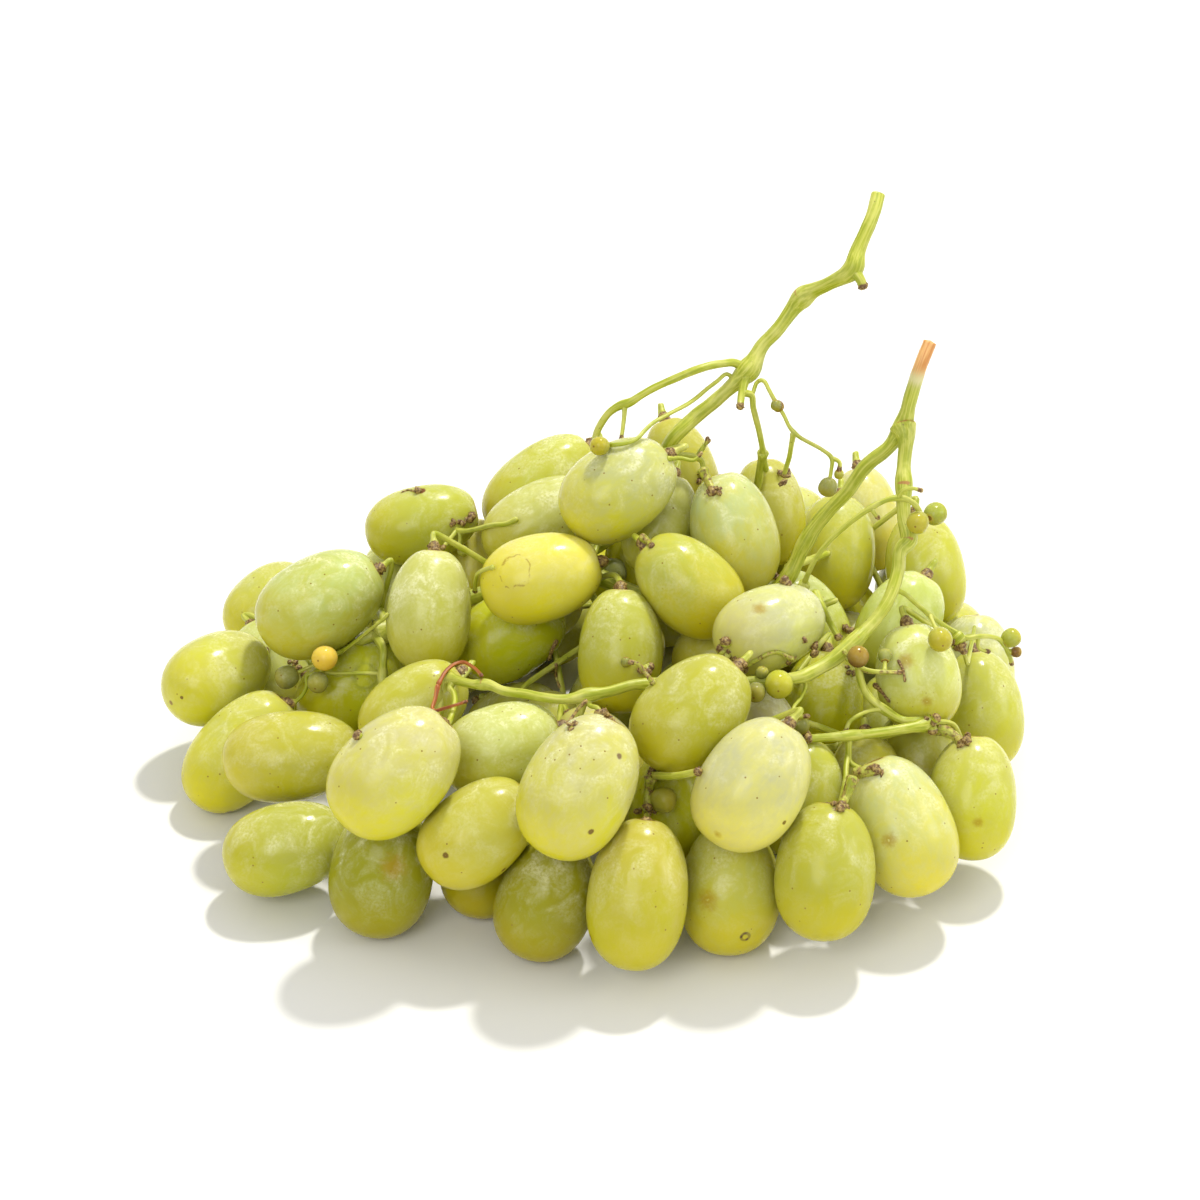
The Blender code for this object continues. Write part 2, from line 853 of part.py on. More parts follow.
def push_apart(place, axes, offsets, radii, ranks, sight):
    """Shifts that take each pair of berries apart at their deepest contact, the nearer-ranked one to the front."""
    first, second = np.triu_indices(len(place), 1)
    near = np.linalg.norm(place[first] - place[second], axis=1) < CONTACT_REACH
    first, second = first[near], second[near]
    balls = place[:, None, :] + offsets[..., None] * axes[:, None, :]
    between = balls[first][:, :, None, :] - balls[second][:, None, :, :]
    distance = np.linalg.norm(between, axis=3) + TINY
    overlap = radii[first][:, :, None] + radii[second][:, None, :] + BERRY_GAP - distance
    rows = np.arange(len(first))
    deepest = overlap.reshape(len(first), -1).argmax(axis=1)
    way = (between / distance[..., None]).reshape(len(first), -1, 3)[rows, deepest]
    depth = np.clip(overlap.reshape(len(first), -1)[rows, deepest], 0.0, None)
    order = ranks[second] - ranks[first]
    ordered = np.abs(order) < HIDDEN_RANK / 2
    along = (way * sight[first]).sum(axis=1)
    wanted = np.where(order > 0, np.minimum(along, -ORDER_SLOPE), np.maximum(along, ORDER_SLOPE))
    wanted = np.where((order != 0) & ordered, wanted, along)
    way = way + (wanted - along)[:, None] * sight[first]
    way /= np.linalg.norm(way, axis=1, keepdims=True)
    give = np.where(ranks == 0, FRONT_GIVE, 1.0)
    share = give[first] / (give[first] + give[second])
    shift = np.zeros_like(place)
    np.add.at(shift, first, way * (depth * share)[:, None])
    np.add.at(shift, second, -way * (depth * (1.0 - share))[:, None])
    return shift, float(depth.max(initial=0.0))


def push_off_stems(place, owner, axes, offsets, radii, beads):
    """Shifts that take berries off the main stem and off the hidden stems of other sprays."""
    centres, sizes, owners = beads
    row, bead = np.nonzero(np.linalg.norm(place[:, None, :] - centres[None, :, :], axis=2) < STEM_REACH)
    kept = owner[row] != owners[bead]
    row, bead = row[kept], bead[kept]
    balls = place[row][:, None, :] + offsets[row][..., None] * axes[row][:, None, :]
    away = balls - centres[bead][:, None, :]
    distance = np.linalg.norm(away, axis=2) + TINY
    overlap = radii[row] + sizes[bead][:, None] + STEM_GAP - distance
    rows = np.arange(len(row))
    deepest = overlap.argmax(axis=1)
    depth = np.clip(overlap[rows, deepest], 0.0, None)
    way = away[rows, deepest] / distance[rows, deepest][:, None]
    shift = np.zeros_like(place)
    weight = np.zeros(len(place))
    np.add.at(shift, row, way * depth[:, None] ** 2)
    np.add.at(weight, row, depth)
    return shift / np.maximum(weight, TINY)[:, None]


def stem_beads(sprays, main_stem):
    """The main stem's spheres and those of every spray's hidden stems, with the spray that each belongs to."""
    centres, sizes = all_chains(main_stem.stems)
    beads = [(centres, sizes, np.full(len(sizes), -1))]
    for index, spray in enumerate(sprays):
        centres, sizes = all_chains(hidden_stems(spray))
        beads.append((centres, sizes, np.full(len(sizes), index)))
    return tuple(np.concatenate(column) for column in zip(*beads))


def settle(sprays, main_stem):
    """Moves the berries apart and onto the surface, mostly along the line of sight of those that are seen."""
    berries = [berry for spray in sprays for berry in spray.berries]
    owner = np.array([index for index, spray in enumerate(sprays) for _ in spray.berries])
    offsets, radii = (np.array(column) for column in zip(*(berry_chain(berry) for berry in berries)))
    axes = np.array([berry.axis for berry in berries])
    ranks = np.array([berry.rank for berry in berries])
    place = np.array([berry.centre for berry in berries])
    start = place.copy()
    sight = start - VIEW_EYE
    sight /= np.linalg.norm(sight, axis=1, keepdims=True)
    hidden = (ranks == HIDDEN_RANK)[:, None]
    floor = np.array([lowest_reach(berry) for berry in berries]) - FLAT_DEPTH
    worst = 0.0
    for turn in range(SETTLE_ROUNDS):
        beads = stem_beads(sprays, main_stem)
        last = turn == SETTLE_ROUNDS - 1
        for _ in range(SETTLE_STEPS):
            shift, worst = push_apart(place, axes, offsets, radii, ranks, sight)
            off_stems = push_off_stems(place, owner, axes, offsets, radii, beads)
            shift = SETTLE_SHARE * shift + OFF_STEM_SHARE * off_stems
            along = (shift * sight).sum(axis=1, keepdims=True) * sight
            place = place + along + (shift - along) * np.where(hidden | last, 1.0, SIDEWAYS_SHARE)
            if not last:
                offset = start - place
                depth = (offset * sight).sum(axis=1, keepdims=True) * sight
                place += (offset - depth) * np.where(hidden, HOLD_HIDDEN, HOLD_TO_VIEW)
                place += depth * np.where(hidden, HOLD_HIDDEN, HOLD_DEPTH)
            place[:, 2] += np.clip(floor - place[:, 2], 0.0, None)
        for berry, centre in zip(berries, place):
            berry.centre = centre.copy()
    return worst


def room_left(points, balls, sizes):
    """Distance from each point to the nearest of the spheres' surfaces."""
    return (np.linalg.norm(points[:, None, :] - balls[None, :, :], axis=2) - sizes[None, :]).min(axis=1)


def berry_balls(berries):
    """The spheres of several berries as one pair of arrays."""
    centres, sizes = [], []
    for berry in berries:
        offsets, radii = berry_chain(berry)
        centres.append(berry.centre + offsets[:, None] * berry.axis)
        sizes.append(radii)
    return np.vstack(centres), np.concatenate(sizes)


def laid_on(points, half, balls, sizes):
    """Moves places towards the viewer until what is drawn along them lies on the spheres and not in them."""
    sight = points - VIEW_EYE
    sight /= np.linalg.norm(sight, axis=1, keepdims=True)
    lift = np.zeros(len(points))
    for _ in range(LAY_STEPS):
        short = np.clip(half + STEM_GAP - room_left(points - sight * lift[:, None], balls, sizes), 0.0, None)
        if short.max() < CLEAR_ENOUGH:
            break
        lift += short * LIFT_SHARE
        eased = lift.copy()
        bend = lift[:-2] + lift[2:] - 2.0 * lift[1:-1]
        eased[1:-1] = np.maximum(lift[1:-1], lift[1:-1] + EASE_SHARE * bend)
        lift = eased
    return points - sight * lift[:, None]


def cut_back(stem, balls, sizes, cut_end=False):
    """Cuts a stem's start, or its end, back to just off the spheres."""
    points = resampled(stem.points, FINE_SPACING)
    half = np.linspace(stem.width_start, stem.width_end, len(points)) / 2.0
    free = np.nonzero(room_left(points, balls, sizes) - half >= ROOT_GAP)[0]
    if len(free) > 3:
        points = points[: free[-1] + 1] if cut_end else points[free[0] :]
    stem.points = points


def bent_clear(stem, balls, sizes, first=None, last=None):
    """Bends a stem clear of the spheres, from the place first and to the place last where they are given."""
    ends = [[] if place is None else [place] for place in (first, last)]
    points = resampled(np.vstack([*ends[0], *stem.points, *ends[1]]), FINE_SPACING)
    half = np.linspace(stem.width_start, stem.width_end, len(points)) / 2.0
    rows = np.arange(len(points))
    fixed = points[[0, -1]].copy()
    for _ in range(LAY_STEPS):
        away = points[:, None, :] - balls[None, :, :]
        distance = np.linalg.norm(away, axis=2)
        nearest = (distance - sizes[None, :]).argmin(axis=1)
        short = half + ROOT_GAP + sizes[nearest] - distance[rows, nearest]
        if short.max() < CLEAR_ENOUGH:
            break
        points = points + away[rows, nearest] * (np.clip(short, 0.0, None) / distance[rows, nearest])[:, None]
        points[1:-1] += SMOOTH_SHARE * (points[:-2] + points[2:] - 2 * points[1:-1])
        if first is not None:
            points[0] = fixed[0]
        if last is not None:
            points[-1] = fixed[1]
    stem.points = resampled(points, BENT_SPACING)


def together(*pairs):
    """Several pairs of centres and radii as one pair."""
    return tuple(np.concatenate(column) for column in zip(*pairs))


def lay_seen_stems(spray, others, strangers):
    """Lays a spray's seen stems on the berries and on other stems, and ends each in the berry that it joins."""
    for stem in spray.stems:
        own = spray.berries[stem.joins] if stem.joins >= 0 else None
        balls, sizes = together(berry_balls([berry for berry in others if berry is not own]), *strangers)
        points = resampled(stem.points, LAID_SPACING)
        half = np.linspace(stem.width_start, stem.width_end, len(points)) / 2.0
        start = 2 if stem.off_main else 0
        points[start:] = laid_on(points[start:], half[start:], balls, sizes)
        stem.points = points if own is None else np.vstack([points, stem_end(own, -STEM_SINK)])


def join_stems(spray, hidden, main_balls, blocked):
    """Starts every stem of a spray on another of its stems, or just off the main stem."""
    side = hidden[0]
    off_main = [stem for stem in spray.stems if stem.off_main]
    for stem in off_main:
        cut_back(stem, *main_balls)
        bent_clear(stem, *blocked)
    root = None
    if off_main and room_left(side.points[:1], *main_balls)[0] > STEM_GAP:
        root = nearest_of(np.vstack([chain_of(stem)[0] for stem in off_main]), side.points[0])
    else:
        cut_back(side, *main_balls)
    bent_clear(side, *blocked, first=root)
    joints = chain_of(side)[0]
    for pedicel in hidden[1:]:
        bent_clear(pedicel, *blocked, last=nearest_of(joints, pedicel.points[-1]))
    joints = np.vstack([joints] + [chain_of(stem)[0] for stem in off_main])
    for stem in spray.stems:
        if not stem.off_main:
            if stem.joins < 0:
                cut_back(stem, *main_balls, cut_end=True)
            bent_clear(stem, *blocked, first=nearest_of(joints, stem.points[0]))
            joints = np.vstack([joints, chain_of(stem)[0]])
    spray.stems = hidden + spray.stems
    spray.joints = joints


def finish_stems(sprays, main_stem):
    """Lays the seen stems on the settled berries and joins every stem and shot berry to its spray."""
    main_balls = all_chains(main_stem.stems)
    hidden = [hidden_stems(spray) for spray in sprays]
    berries = [berry for spray in sprays for berry in spray.berries]
    for index, spray in enumerate(sprays):
        strangers = [main_balls] + [all_chains(stems) for other, stems in enumerate(hidden) if other != index]
        strangers += [all_chains(other.stems) for other in sprays[:index]]
        lay_seen_stems(spray, berries, strangers)
    for index, spray in enumerate(sprays):
        blocked = [main_balls]
        for other, stems in enumerate(hidden):
            if other != index:
                blocked += [berry_balls(sprays[other].berries), all_chains(sprays[other].stems)]
                blocked += [all_chains(stems)] if other > index else []
        join_stems(spray, hidden[index], main_balls, together(*blocked))
    main_stem.joints = main_balls[0]
    for spray in sprays + [main_stem]:
        others = [other for other in sprays + [main_stem] if other is not spray]
        balls, sizes = together(berry_balls(berries), *(all_chains(other.stems) for other in others))
        for berry in spray.shots:
            berry.centre = laid_on(berry.centre[None, :], np.array([berry.width / 2.0]), balls, sizes)[0]
            pedicel = Stem(berry.centre[None, :], SHOT_STEM_WIDTH, SHOT_STEM_WIDTH)
            bent_clear(pedicel, balls, sizes, first=nearest_of(spray.joints, berry.centre))
            pedicel.points = np.vstack([pedicel.points, berry.centre])
            spray.stems.append(pedicel)


def middle_of(nodes):
    """The middle of the whole bunch's box, on the surface."""
    lows, highs = [], []
    for node in nodes:
        for berry in node.berries:
            along, across = berry_profile(berry.length, berry.width, PROFILE_STEPS)
            slope = np.sqrt(np.clip(1.0 - berry.axis**2, 0.0, None))
            reach = across[:, None] * slope[None, :] + along[:, None] * berry.axis[None, :]
            drop = across[:, None] * slope[None, :] - along[:, None] * berry.axis[None, :]
            lows.append(berry.centre - drop.max(axis=0))
            highs.append(berry.centre + reach.max(axis=0))
        centres, radii = all_chains(node.stems)
        lows.append((centres - radii[:, None]).min(axis=0))
        highs.append((centres + radii[:, None]).max(axis=0))
    middle = (np.min(lows, axis=0) + np.max(highs, axis=0)) / 2.0
    return np.array([middle[0], middle[1], 0.0])


def new_object(name, mesh, collection):
    """An object that holds this mesh, in this collection."""
    made = bpy.data.objects.new(name, mesh)
    collection.objects.link(made)
    return made


def oval_object(name, centre, axis, length, width, sides, rings, collection):
    """A berry: a sphere with few sides, stretched to the berry's profile and turned to its axis."""
    shape = bmesh.new()
    bmesh.ops.create_uvsphere(shape, u_segments=sides, v_segments=rings, radius=1.0)
    power = 2.0 / BERRY_FULLNESS
    for vert in shape.verts:
        height = max(-1.0, min(1.0, vert.co.z))
        across = math.sqrt(max(0.0, 1.0 - height * height))
        along = math.copysign(abs(height) ** power, height)
        spread = across**power * (1.0 - BERRY_TAPER * along) / max(across, TINY)
        vert.co.x *= spread * width / 2.0 * MM
        vert.co.y *= spread * width / 2.0 * MM
        vert.co.z = along * length / 2.0 * MM
    mesh = bpy.data.meshes.new(name)
    shape.to_mesh(mesh)
    shape.free()
    mesh.shade_smooth()
    made = new_object(name, mesh, collection)
    turn = Vector(axis).to_track_quat("Z", "Y").to_matrix().to_4x4()
    made.matrix_world = Matrix.Translation(Vector(centre) * MM) @ turn
    return made


def stem_object(name, stem, tolerance, collection):
    """A stem: a curve through its route with a round section, made a mesh with its ends welded."""
    points = thinned(resampled(stem.points, FINE_SPACING), tolerance)
    along = np.concatenate([[0.0], np.cumsum(np.linalg.norm(np.diff(points, axis=0), axis=1))])
    half = np.interp(along / along[-1], [0.0, 1.0], [stem.width_start, stem.width_end]) / 2.0
    curve = bpy.data.curves.new(name, "CURVE")
    curve.dimensions = "3D"
    curve.bevel_depth = MM
    curve.bevel_resolution = 0 if stem.width_start < THIN_STEM else 1
    curve.use_fill_caps = True
    spline = curve.splines.new("POLY")
    spline.points.add(len(points) - 1)
    for point, place, radius in zip(spline.points, points, half):
        point.co = (*(place * MM), 1.0)
        point.radius = radius
    guide = new_object(name + "_route", curve, collection)
    bpy.context.view_layer.update()
    mesh = bpy.data.meshes.new_from_object(guide.evaluated_get(bpy.context.evaluated_depsgraph_get()))
    bpy.data.objects.remove(guide)
    bpy.data.curves.remove(curve)
    shape = bmesh.new()
    shape.from_mesh(mesh)
    bmesh.ops.remove_doubles(shape, verts=shape.verts, dist=WELD_DISTANCE)
    shape.to_mesh(mesh)
    shape.free()
    mesh.shade_smooth()
    return new_object(name, mesh, collection)


def grown_together(name, pieces, scratch, parts, material):
    """One solid from overlapping pieces: a Boolean union, applied, with the pieces then removed."""
    base, others = pieces[0], pieces[1:]
    for other in others:
        scratch.objects.unlink(other)
    joined = bpy.data.collections.new(name + "_pieces")
    bpy.context.scene.collection.children.link(joined)
    for other in others:
        joined.objects.link(other)
    union = base.modifiers.new("Union", "BOOLEAN")
    union.operation = "UNION"
    union.operand_type = "COLLECTION"
    union.collection = joined
    union.solver = UNION_SOLVER
    bpy.context.view_layer.update()
    mesh = bpy.data.meshes.new_from_object(base.evaluated_get(bpy.context.evaluated_depsgraph_get()))
    mesh.transform(base.matrix_world)
    for piece in pieces:
        bpy.data.objects.remove(piece)
    bpy.data.collections.remove(joined)
    mesh.materials.clear()
    mesh.materials.append(material)
    return new_object(name, mesh, parts)


def plain_material(name, colour, roughness):
    """A Principled material with one colour and roughness."""
    material = bpy.data.materials.new(name)
    material.use_nodes = True
    shader = material.node_tree.nodes["Principled BSDF"]
    shader.inputs["Base Color"].default_value = colour
    shader.inputs["Roughness"].default_value = roughness
    shader.inputs["Metallic"].default_value = 0.0
    return material


def level_with_surface(node, cutter):
    """Cuts a node flat where it presses on the surface."""
    cut = node.modifiers.new("Rest", "BOOLEAN")
    cut.operation = "DIFFERENCE"
    cut.object = cutter
    cut.solver = "EXACT"


def surface_cutter(collection):
    """A slab just below the surface, which gives the lowest berries their flat spots."""
    bpy.ops.mesh.primitive_cube_add(size=1.0, location=(0.0, 0.0, -CUTTER_DEPTH / 2.0))
    cutter = bpy.context.object
    cutter.name = "surface_cutter"
    cutter.scale = (CUTTER_SIDE, CUTTER_SIDE, CUTTER_DEPTH)
    cutter.hide_render = True
    cutter.display_type = "WIRE"
    for holder in list(cutter.users_collection):
        holder.objects.unlink(cutter)
    collection.objects.link(cutter)
    return cutter


def build_node(spray, shift, scratch, parts, material):
    """Builds one spray, or the main stem or tendril: its berries, shot berries and stems, grown together."""
    pieces = []
    for index, berry in enumerate(spray.berries):
        pieces.append(
            oval_object(
                f"{spray.name}_berry_{index}",
                berry.centre - shift,
                berry.axis,
                berry.length,
                berry.width,
                BERRY_SIDES,
                BERRY_RINGS,
                scratch,
            )
        )
    for index, berry in enumerate(spray.shots):
        centre = berry.centre - shift
        pieces.append(
            oval_object(
                f"{spray.name}_shot_{index}", centre, UP, berry.width, berry.width, SHOT_SIDES, SHOT_RINGS, scratch
            )
        )
    for index, stem in enumerate(spray.stems):
        moved = Stem(stem.points - shift, stem.width_start, stem.width_end)
        pieces.append(stem_object(f"{spray.name}_stem_{index}", moved, STEM_TOLERANCE, scratch))
    return grown_together(spray.name, pieces, scratch, parts, material)


def lay_out():
    """The settled sprays with the main stem and the tendril, and the middle of their box."""
    main_stem = main_stem_of_the_bunch()
    sprays = sprays_of_the_bunch()
    settle(sprays, main_stem)
    finish_stems(sprays, main_stem)
    tendril = tendril_of_the_bunch()
    nodes = sprays + [main_stem]
    balls, sizes = together(
        berry_balls([berry for spray in sprays for berry in spray.berries]),
        *(all_chains(node.stems) for node in nodes),
    )
    for stem in tendril.stems:
        points = resampled(stem.points, BEAD_SPACING)
        stem.points = laid_on(points, np.full(len(points), stem.width_start / 2.0), balls, sizes)
    nodes.append(tendril)
    return nodes, middle_of(nodes)


def main():
    """Builds the bunch in an empty scene."""
    for old in list(bpy.data.objects):
        bpy.data.objects.remove(old)
    parts = bpy.data.collections.new("bunch_of_grapes")
    scratch = bpy.data.collections.new("cutters")
    bpy.context.scene.collection.children.link(parts)
    bpy.context.scene.collection.children.link(scratch)
    skin = plain_material("grape_skin", GREEN_SKIN, SKIN_ROUGHNESS)
    bark = plain_material("green_stem", GREEN_STEM, STEM_ROUGHNESS)
    nodes, shift = lay_out()
    cutter = surface_cutter(scratch)
    for node in nodes:
        made = build_node(node, shift, scratch, parts, skin if node.berries else bark)
        if node.berries:
            level_with_surface(made, cutter)


if __name__ == "__main__":
    main()
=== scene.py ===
"""Looks of a bunch of long white table grapes that lies in a heap.

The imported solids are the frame. Each spray of berries gets fine berries and fine stems in the same places,
worked out by the same layout as the solids, and the main stem and the dried tendril are made finer too.
Lengths are in millimetres until a mesh is made, and in metres in the scene.
"""

from __future__ import annotations

import logging
import math
import sys
from collections.abc import Iterator
from dataclasses import dataclass, field
from enum import Enum

import bpy
import numpy as np
from mathutils import Matrix, Vector
from numpy.linalg import norm

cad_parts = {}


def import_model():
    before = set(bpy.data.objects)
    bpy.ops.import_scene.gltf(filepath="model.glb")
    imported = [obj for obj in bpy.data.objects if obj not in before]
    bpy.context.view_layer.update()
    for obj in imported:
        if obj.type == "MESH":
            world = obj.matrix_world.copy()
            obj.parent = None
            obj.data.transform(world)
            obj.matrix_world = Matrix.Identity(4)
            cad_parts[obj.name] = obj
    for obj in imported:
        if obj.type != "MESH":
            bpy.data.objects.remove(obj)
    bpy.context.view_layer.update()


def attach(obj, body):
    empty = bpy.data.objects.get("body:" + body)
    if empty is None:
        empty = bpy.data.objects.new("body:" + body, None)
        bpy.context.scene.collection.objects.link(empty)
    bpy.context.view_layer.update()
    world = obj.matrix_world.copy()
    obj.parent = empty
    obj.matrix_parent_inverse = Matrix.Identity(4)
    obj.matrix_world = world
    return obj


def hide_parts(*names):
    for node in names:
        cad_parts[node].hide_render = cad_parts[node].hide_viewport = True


log = logging.getLogger("bunch_of_grapes")

MM = 0.001
TINY = 1e-9
BODY = "root"

# The view that the places were read in: a camera in front of the heap, looking down on it, in millimetres.
VIEW_ELEVATION = math.radians(32.5)
VIEW_DISTANCE = 800.0
VIEW_AIM = np.array([0.0, 0.0, 42.8])
VIEW_FOCAL_PX = 3808.0
VIEW_CENTRE_PX = 600.0
VIEW_WIDTH_PX = 1200.0
SENSOR_WIDTH = 36.0

# The middle that the stem ends of hidden berries lean to, and how much of the rise they keep.
HEAP_MIDDLE = np.array([0.0, 10.0, 42.0])
INNER_RISE = 0.6

# The form of a berry: a full oval, a little narrower at its stem end.
BERRY_FULLNESS = 2.2
BERRY_TAPER = 0.07
CHAIN_SPHERES = 5
CHAIN_REACH = 0.55
PROFILE_STEPS = 60

# How the heap settles.
BERRY_GAP = 0.45
STEM_GAP = 0.55
FLAT_DEPTH = 0.45
SETTLE_ROUNDS = 10
SETTLE_STEPS = 60
SETTLE_SHARE = 0.7
OFF_STEM_SHARE = 0.5
SIDEWAYS_SHARE = 0.35
HOLD_TO_VIEW = 0.16
HOLD_DEPTH = 0.016
HOLD_HIDDEN = 0.004
ORDER_SLOPE = 0.45
FRONT_GIVE = 0.5
HIDDEN_RANK = 100
CONTACT_REACH = 32.0
STEM_REACH = 19.0

# The stems.
PEDICEL_WIDTH = 1.3
PEDICEL_LENGTH = 3.0
PEDICEL_DIVE = 3.0
SIDE_STEM_WIDTH = 1.9
STEM_SINK = 1.6
HUB_SHARE = 0.62
BARE_SHARE = 0.25
PEDICEL_BEND = 0.4
ROOT_GAP = 0.4
SHOT_STEM_WIDTH = 0.8

# How far apart the places along a stem are, in mm, and how a stem is laid and bent clear of what it meets.
ROUTE_SPACING = 0.5
FINE_SPACING = 1.0
BEAD_SPACING = 2.0
LAID_SPACING = 2.5
BENT_SPACING = 3.0
LAY_STEPS = 80
LIFT_SHARE = 0.6
EASE_SHARE = 0.25
SMOOTH_SHARE = 0.15
CLEAR_ENOUGH = 0.001

# How the drawn stems are mended: a sharp fold near a start is cut off, and an end that lies beside the main
# stem is carried on to it, in mm.
FOLD_SPACING = 0.5
FOLD_REACH = 3
FOLD_COSINE = -0.35
FOLD_LATEST = 0.6
JOIN_STRETCH = 6.0
JOIN_GAP = 4.0
FIRST_JOIN_GAP = 9.0

# How much a stem gains in width at its joints, and how red the scar there is.
JOINT_SWELL = (0.25, 0.2)
ROOT_SWELL = (0.2, 0.1)

# The knobs, twigs and loose shot berries: how each lies on what is behind it, in shares of its width, and how
# far, in mm, one may reach beyond its nearest place.
LUMP_PARTS = 3
LUMP_LIFT = 0.25
LUMP_SPREAD = 0.22
LUMP_LENGTH = 0.30
TWIG_LIFT = 0.4
TWIG_TAPER = 0.8
SHOT_LIFT = 0.3
MOST_DEPTH = 3.0

# How upright a direction may be and still be crossed with the upright one.
NEARLY_UPRIGHT = 0.9

# The height that the lights aim at, in metres.
LAMP_AIM = 0.04

Points = np.ndarray
Random = np.random.Generator
Spheres = tuple[np.ndarray, np.ndarray]


def view_axes() -> tuple[Points, Points, Points, Points]:
    """Works out the view's directions.

    Returns:
        The right, up and forward directions, and the place that the view looks from.
    """
    forward = np.array([0.0, math.cos(VIEW_ELEVATION), -math.sin(VIEW_ELEVATION)])
    up = np.array([0.0, math.sin(VIEW_ELEVATION), math.cos(VIEW_ELEVATION)])
    right = np.array([1.0, 0.0, 0.0])
    return right, up, forward, VIEW_AIM - forward * VIEW_DISTANCE


RIGHT, UP, FORWARD, VIEW_EYE = view_axes()


def sight_line(u: float, v: float) -> Points:
    """Gives the unit direction, away from the eye, of the line of sight through pixel column u and row v."""
    line = FORWARD + RIGHT * (u - VIEW_CENTRE_PX) / VIEW_FOCAL_PX - UP * (v - VIEW_CENTRE_PX) / VIEW_FOCAL_PX
    return line / norm(line)


def point_seen(u: float, v: float, height: float) -> Points:
    """Gives the point, at a height in mm, that the view shows at pixel column u and row v."""
    line = sight_line(u, v)
    return VIEW_EYE + line * (height - VIEW_EYE[2]) / line[2]


def turned_axis(roll: float, nod: float) -> Points:
    """Gives a stem end's unit direction from its roll in the view and its nod to the viewer, in degrees."""
    roll, nod = math.radians(roll), math.radians(nod)
    flat = RIGHT * math.cos(roll) + UP * math.sin(roll)
    return flat * math.cos(nod) - FORWARD * math.sin(nod)


class Tint(Enum):
    """What a skin's colour says of its ripeness: the hazed colour, the clear colour, as sRGB hex. The skin
    shows more of the hazed colour towards the top as painted sheen, and more of the clear colour lower down
    as painted glow; the darker olive tint is painted shade on berries that lie low at the front.
    """

    FRESH = ("#b5b552", "#bab500")
    GREEN = ("#c4c424", "#adb000")
    PALE_GREEN = ("#c5c97a", "#b0b206")
    SUNNY = ("#bfbf84", "#d1cc00")
    RIPE = ("#bbba5c", "#cbc600")
    GOLDEN = ("#c6c25e", "#dad100")
    WHITISH = ("#b7b78a", "#dadb5c")
    # Darker olive: painted shade on berries that lie low at the front.
    PAINTED_SHADE_OLIVE = ("#979220", "#928a00")
    SHOT_GREEN = ("#a8a846", "#93901c")
    SHOT_BRIGHT = ("#b2bb42", "#9aa01c")
    SHOT_OLIVE = ("#93944e", "#6f7230")
    SHOT_BROWN = ("#86663a", "#64461f")
    SHOT_AMBER = ("#e6cc62", "#d8b02c")
    SHOT_DEAD = ("#4a4a2c", "#2e2c18")


class Blemish(Enum):
    """A kind of mark on a skin: its colour and strength, and how clear, fading and ragged its disc is."""

    NONE = ("#6e4a22", 0.0, 0.0, 0.2, 0.0)
    SPECK = ("#6a4a1c", 0.9, 0.0, 0.5, 0.8)
    BRUISE = ("#a4840c", 0.66, 0.0, 0.9, 1.0)
    CORK = ("#74431f", 0.95, 0.0, 0.3, 0.8)
    CORK_RING = ("#4f352c", 0.95, 0.42, 0.25, 0.3)
    CRACK = ("#8a5a14", 0.85, 0.92, 0.1, 0.3)
    RING = ("#8f9638", 0.5, 0.66, 0.3, 0.3)


@dataclass(frozen=True)
class Mark:
    """One mark on a berry: the pixel where the view shows its middle, its width in mm, and its kind."""

    u: float
    v: float
    width: float
    kind: Blemish


@dataclass
class Berry:
    """One grape: its centre, long axis, size in mm, rank from the front where berries overlap, and looks."""

    centre: Points
    axis: Points
    length: float
    width: float
    rank: int
    tint: Tint = Tint.FRESH
    bloom: float = 0.4
    marks: list[Mark] = field(default_factory=list)


def seen(
    rank: int, u: float, v: float, height: float, length: float, width: float, roll: float,
    tint: Tint, bloom: float, nod: float = 0.0, marks: list[Mark] | None = None,
) -> Berry:
    """Places a berry that the view shows.

    Args:
        rank: its order from the front; a lower rank covers a higher one.
        u: pixel column of its middle.
        v: pixel row of its middle.
        height: height of its middle, in mm.
        length: its length, in mm.
        width: its thickness, in mm.
        roll: angle of its stem end in the view, in degrees.
        tint: colour of its skin.
        bloom: share of its powdery bloom, 0 to 1.
        nod: how far its stem end leans to the viewer, in degrees.
        marks: the marks on its skin.

    Returns:
        The berry, before the heap settles.
    """
    centre = point_seen(u, v, height)
    return Berry(centre, turned_axis(roll, nod), length, width, rank, tint, bloom, marks or [])


def inner(x: float, y: float, z: float, length: float, width: float, turn: float) -> Berry:
    """Places a berry that the view hides: its stem end leans to the heap's middle.

    Args:
        x: its middle along X, in mm.
        y: its middle along Y, in mm.
        z: its middle's height, in mm.
        length: its length, in mm.
        width: its thickness, in mm.
        turn: how far its stem end swings round from the heap's middle, in degrees.

    Returns:
        The berry, before the heap settles, with a tint and a bloom that follow from its place.
    """
    place = np.array([x, y, z], float)
    lean = (HEAP_MIDDLE - place) * np.array([1.0, 1.0, INNER_RISE])
    swing = math.radians(turn)
    axis = np.array(
        [
            lean[0] * math.cos(swing) - lean[1] * math.sin(swing),
            lean[0] * math.sin(swing) + lean[1] * math.cos(swing),
            lean[2],
        ]
    )
    common = (Tint.FRESH, Tint.RIPE, Tint.GREEN, Tint.SUNNY)
    tint = common[int(abs(x) + abs(y) + length) % len(common)]
    bloom = 0.3 + 0.05 * (int(abs(x) + z) % 6)
    return Berry(place, axis / norm(axis), length, width, HIDDEN_RANK, tint, bloom)


class StemEnd(Enum):
    """What the last place of a stem is: sunk in another stem or out of sight, bare, or cut across."""

    SUNK = "sunk"
    BARE = "bare"
    CUT = "cut"


@dataclass
class Stem:
    """A stem's route in mm, with its width at each end, and what it starts and ends in."""

    points: Points
    width_start: float
    width_end: float
    joins: int = -1
    off_main: bool = False
    starts_in_berry: bool = False
    ends_in_berry: bool = False
    end: StemEnd = StemEnd.SUNK
    start: StemEnd = StemEnd.SUNK
    amber_tip: float = 0.0


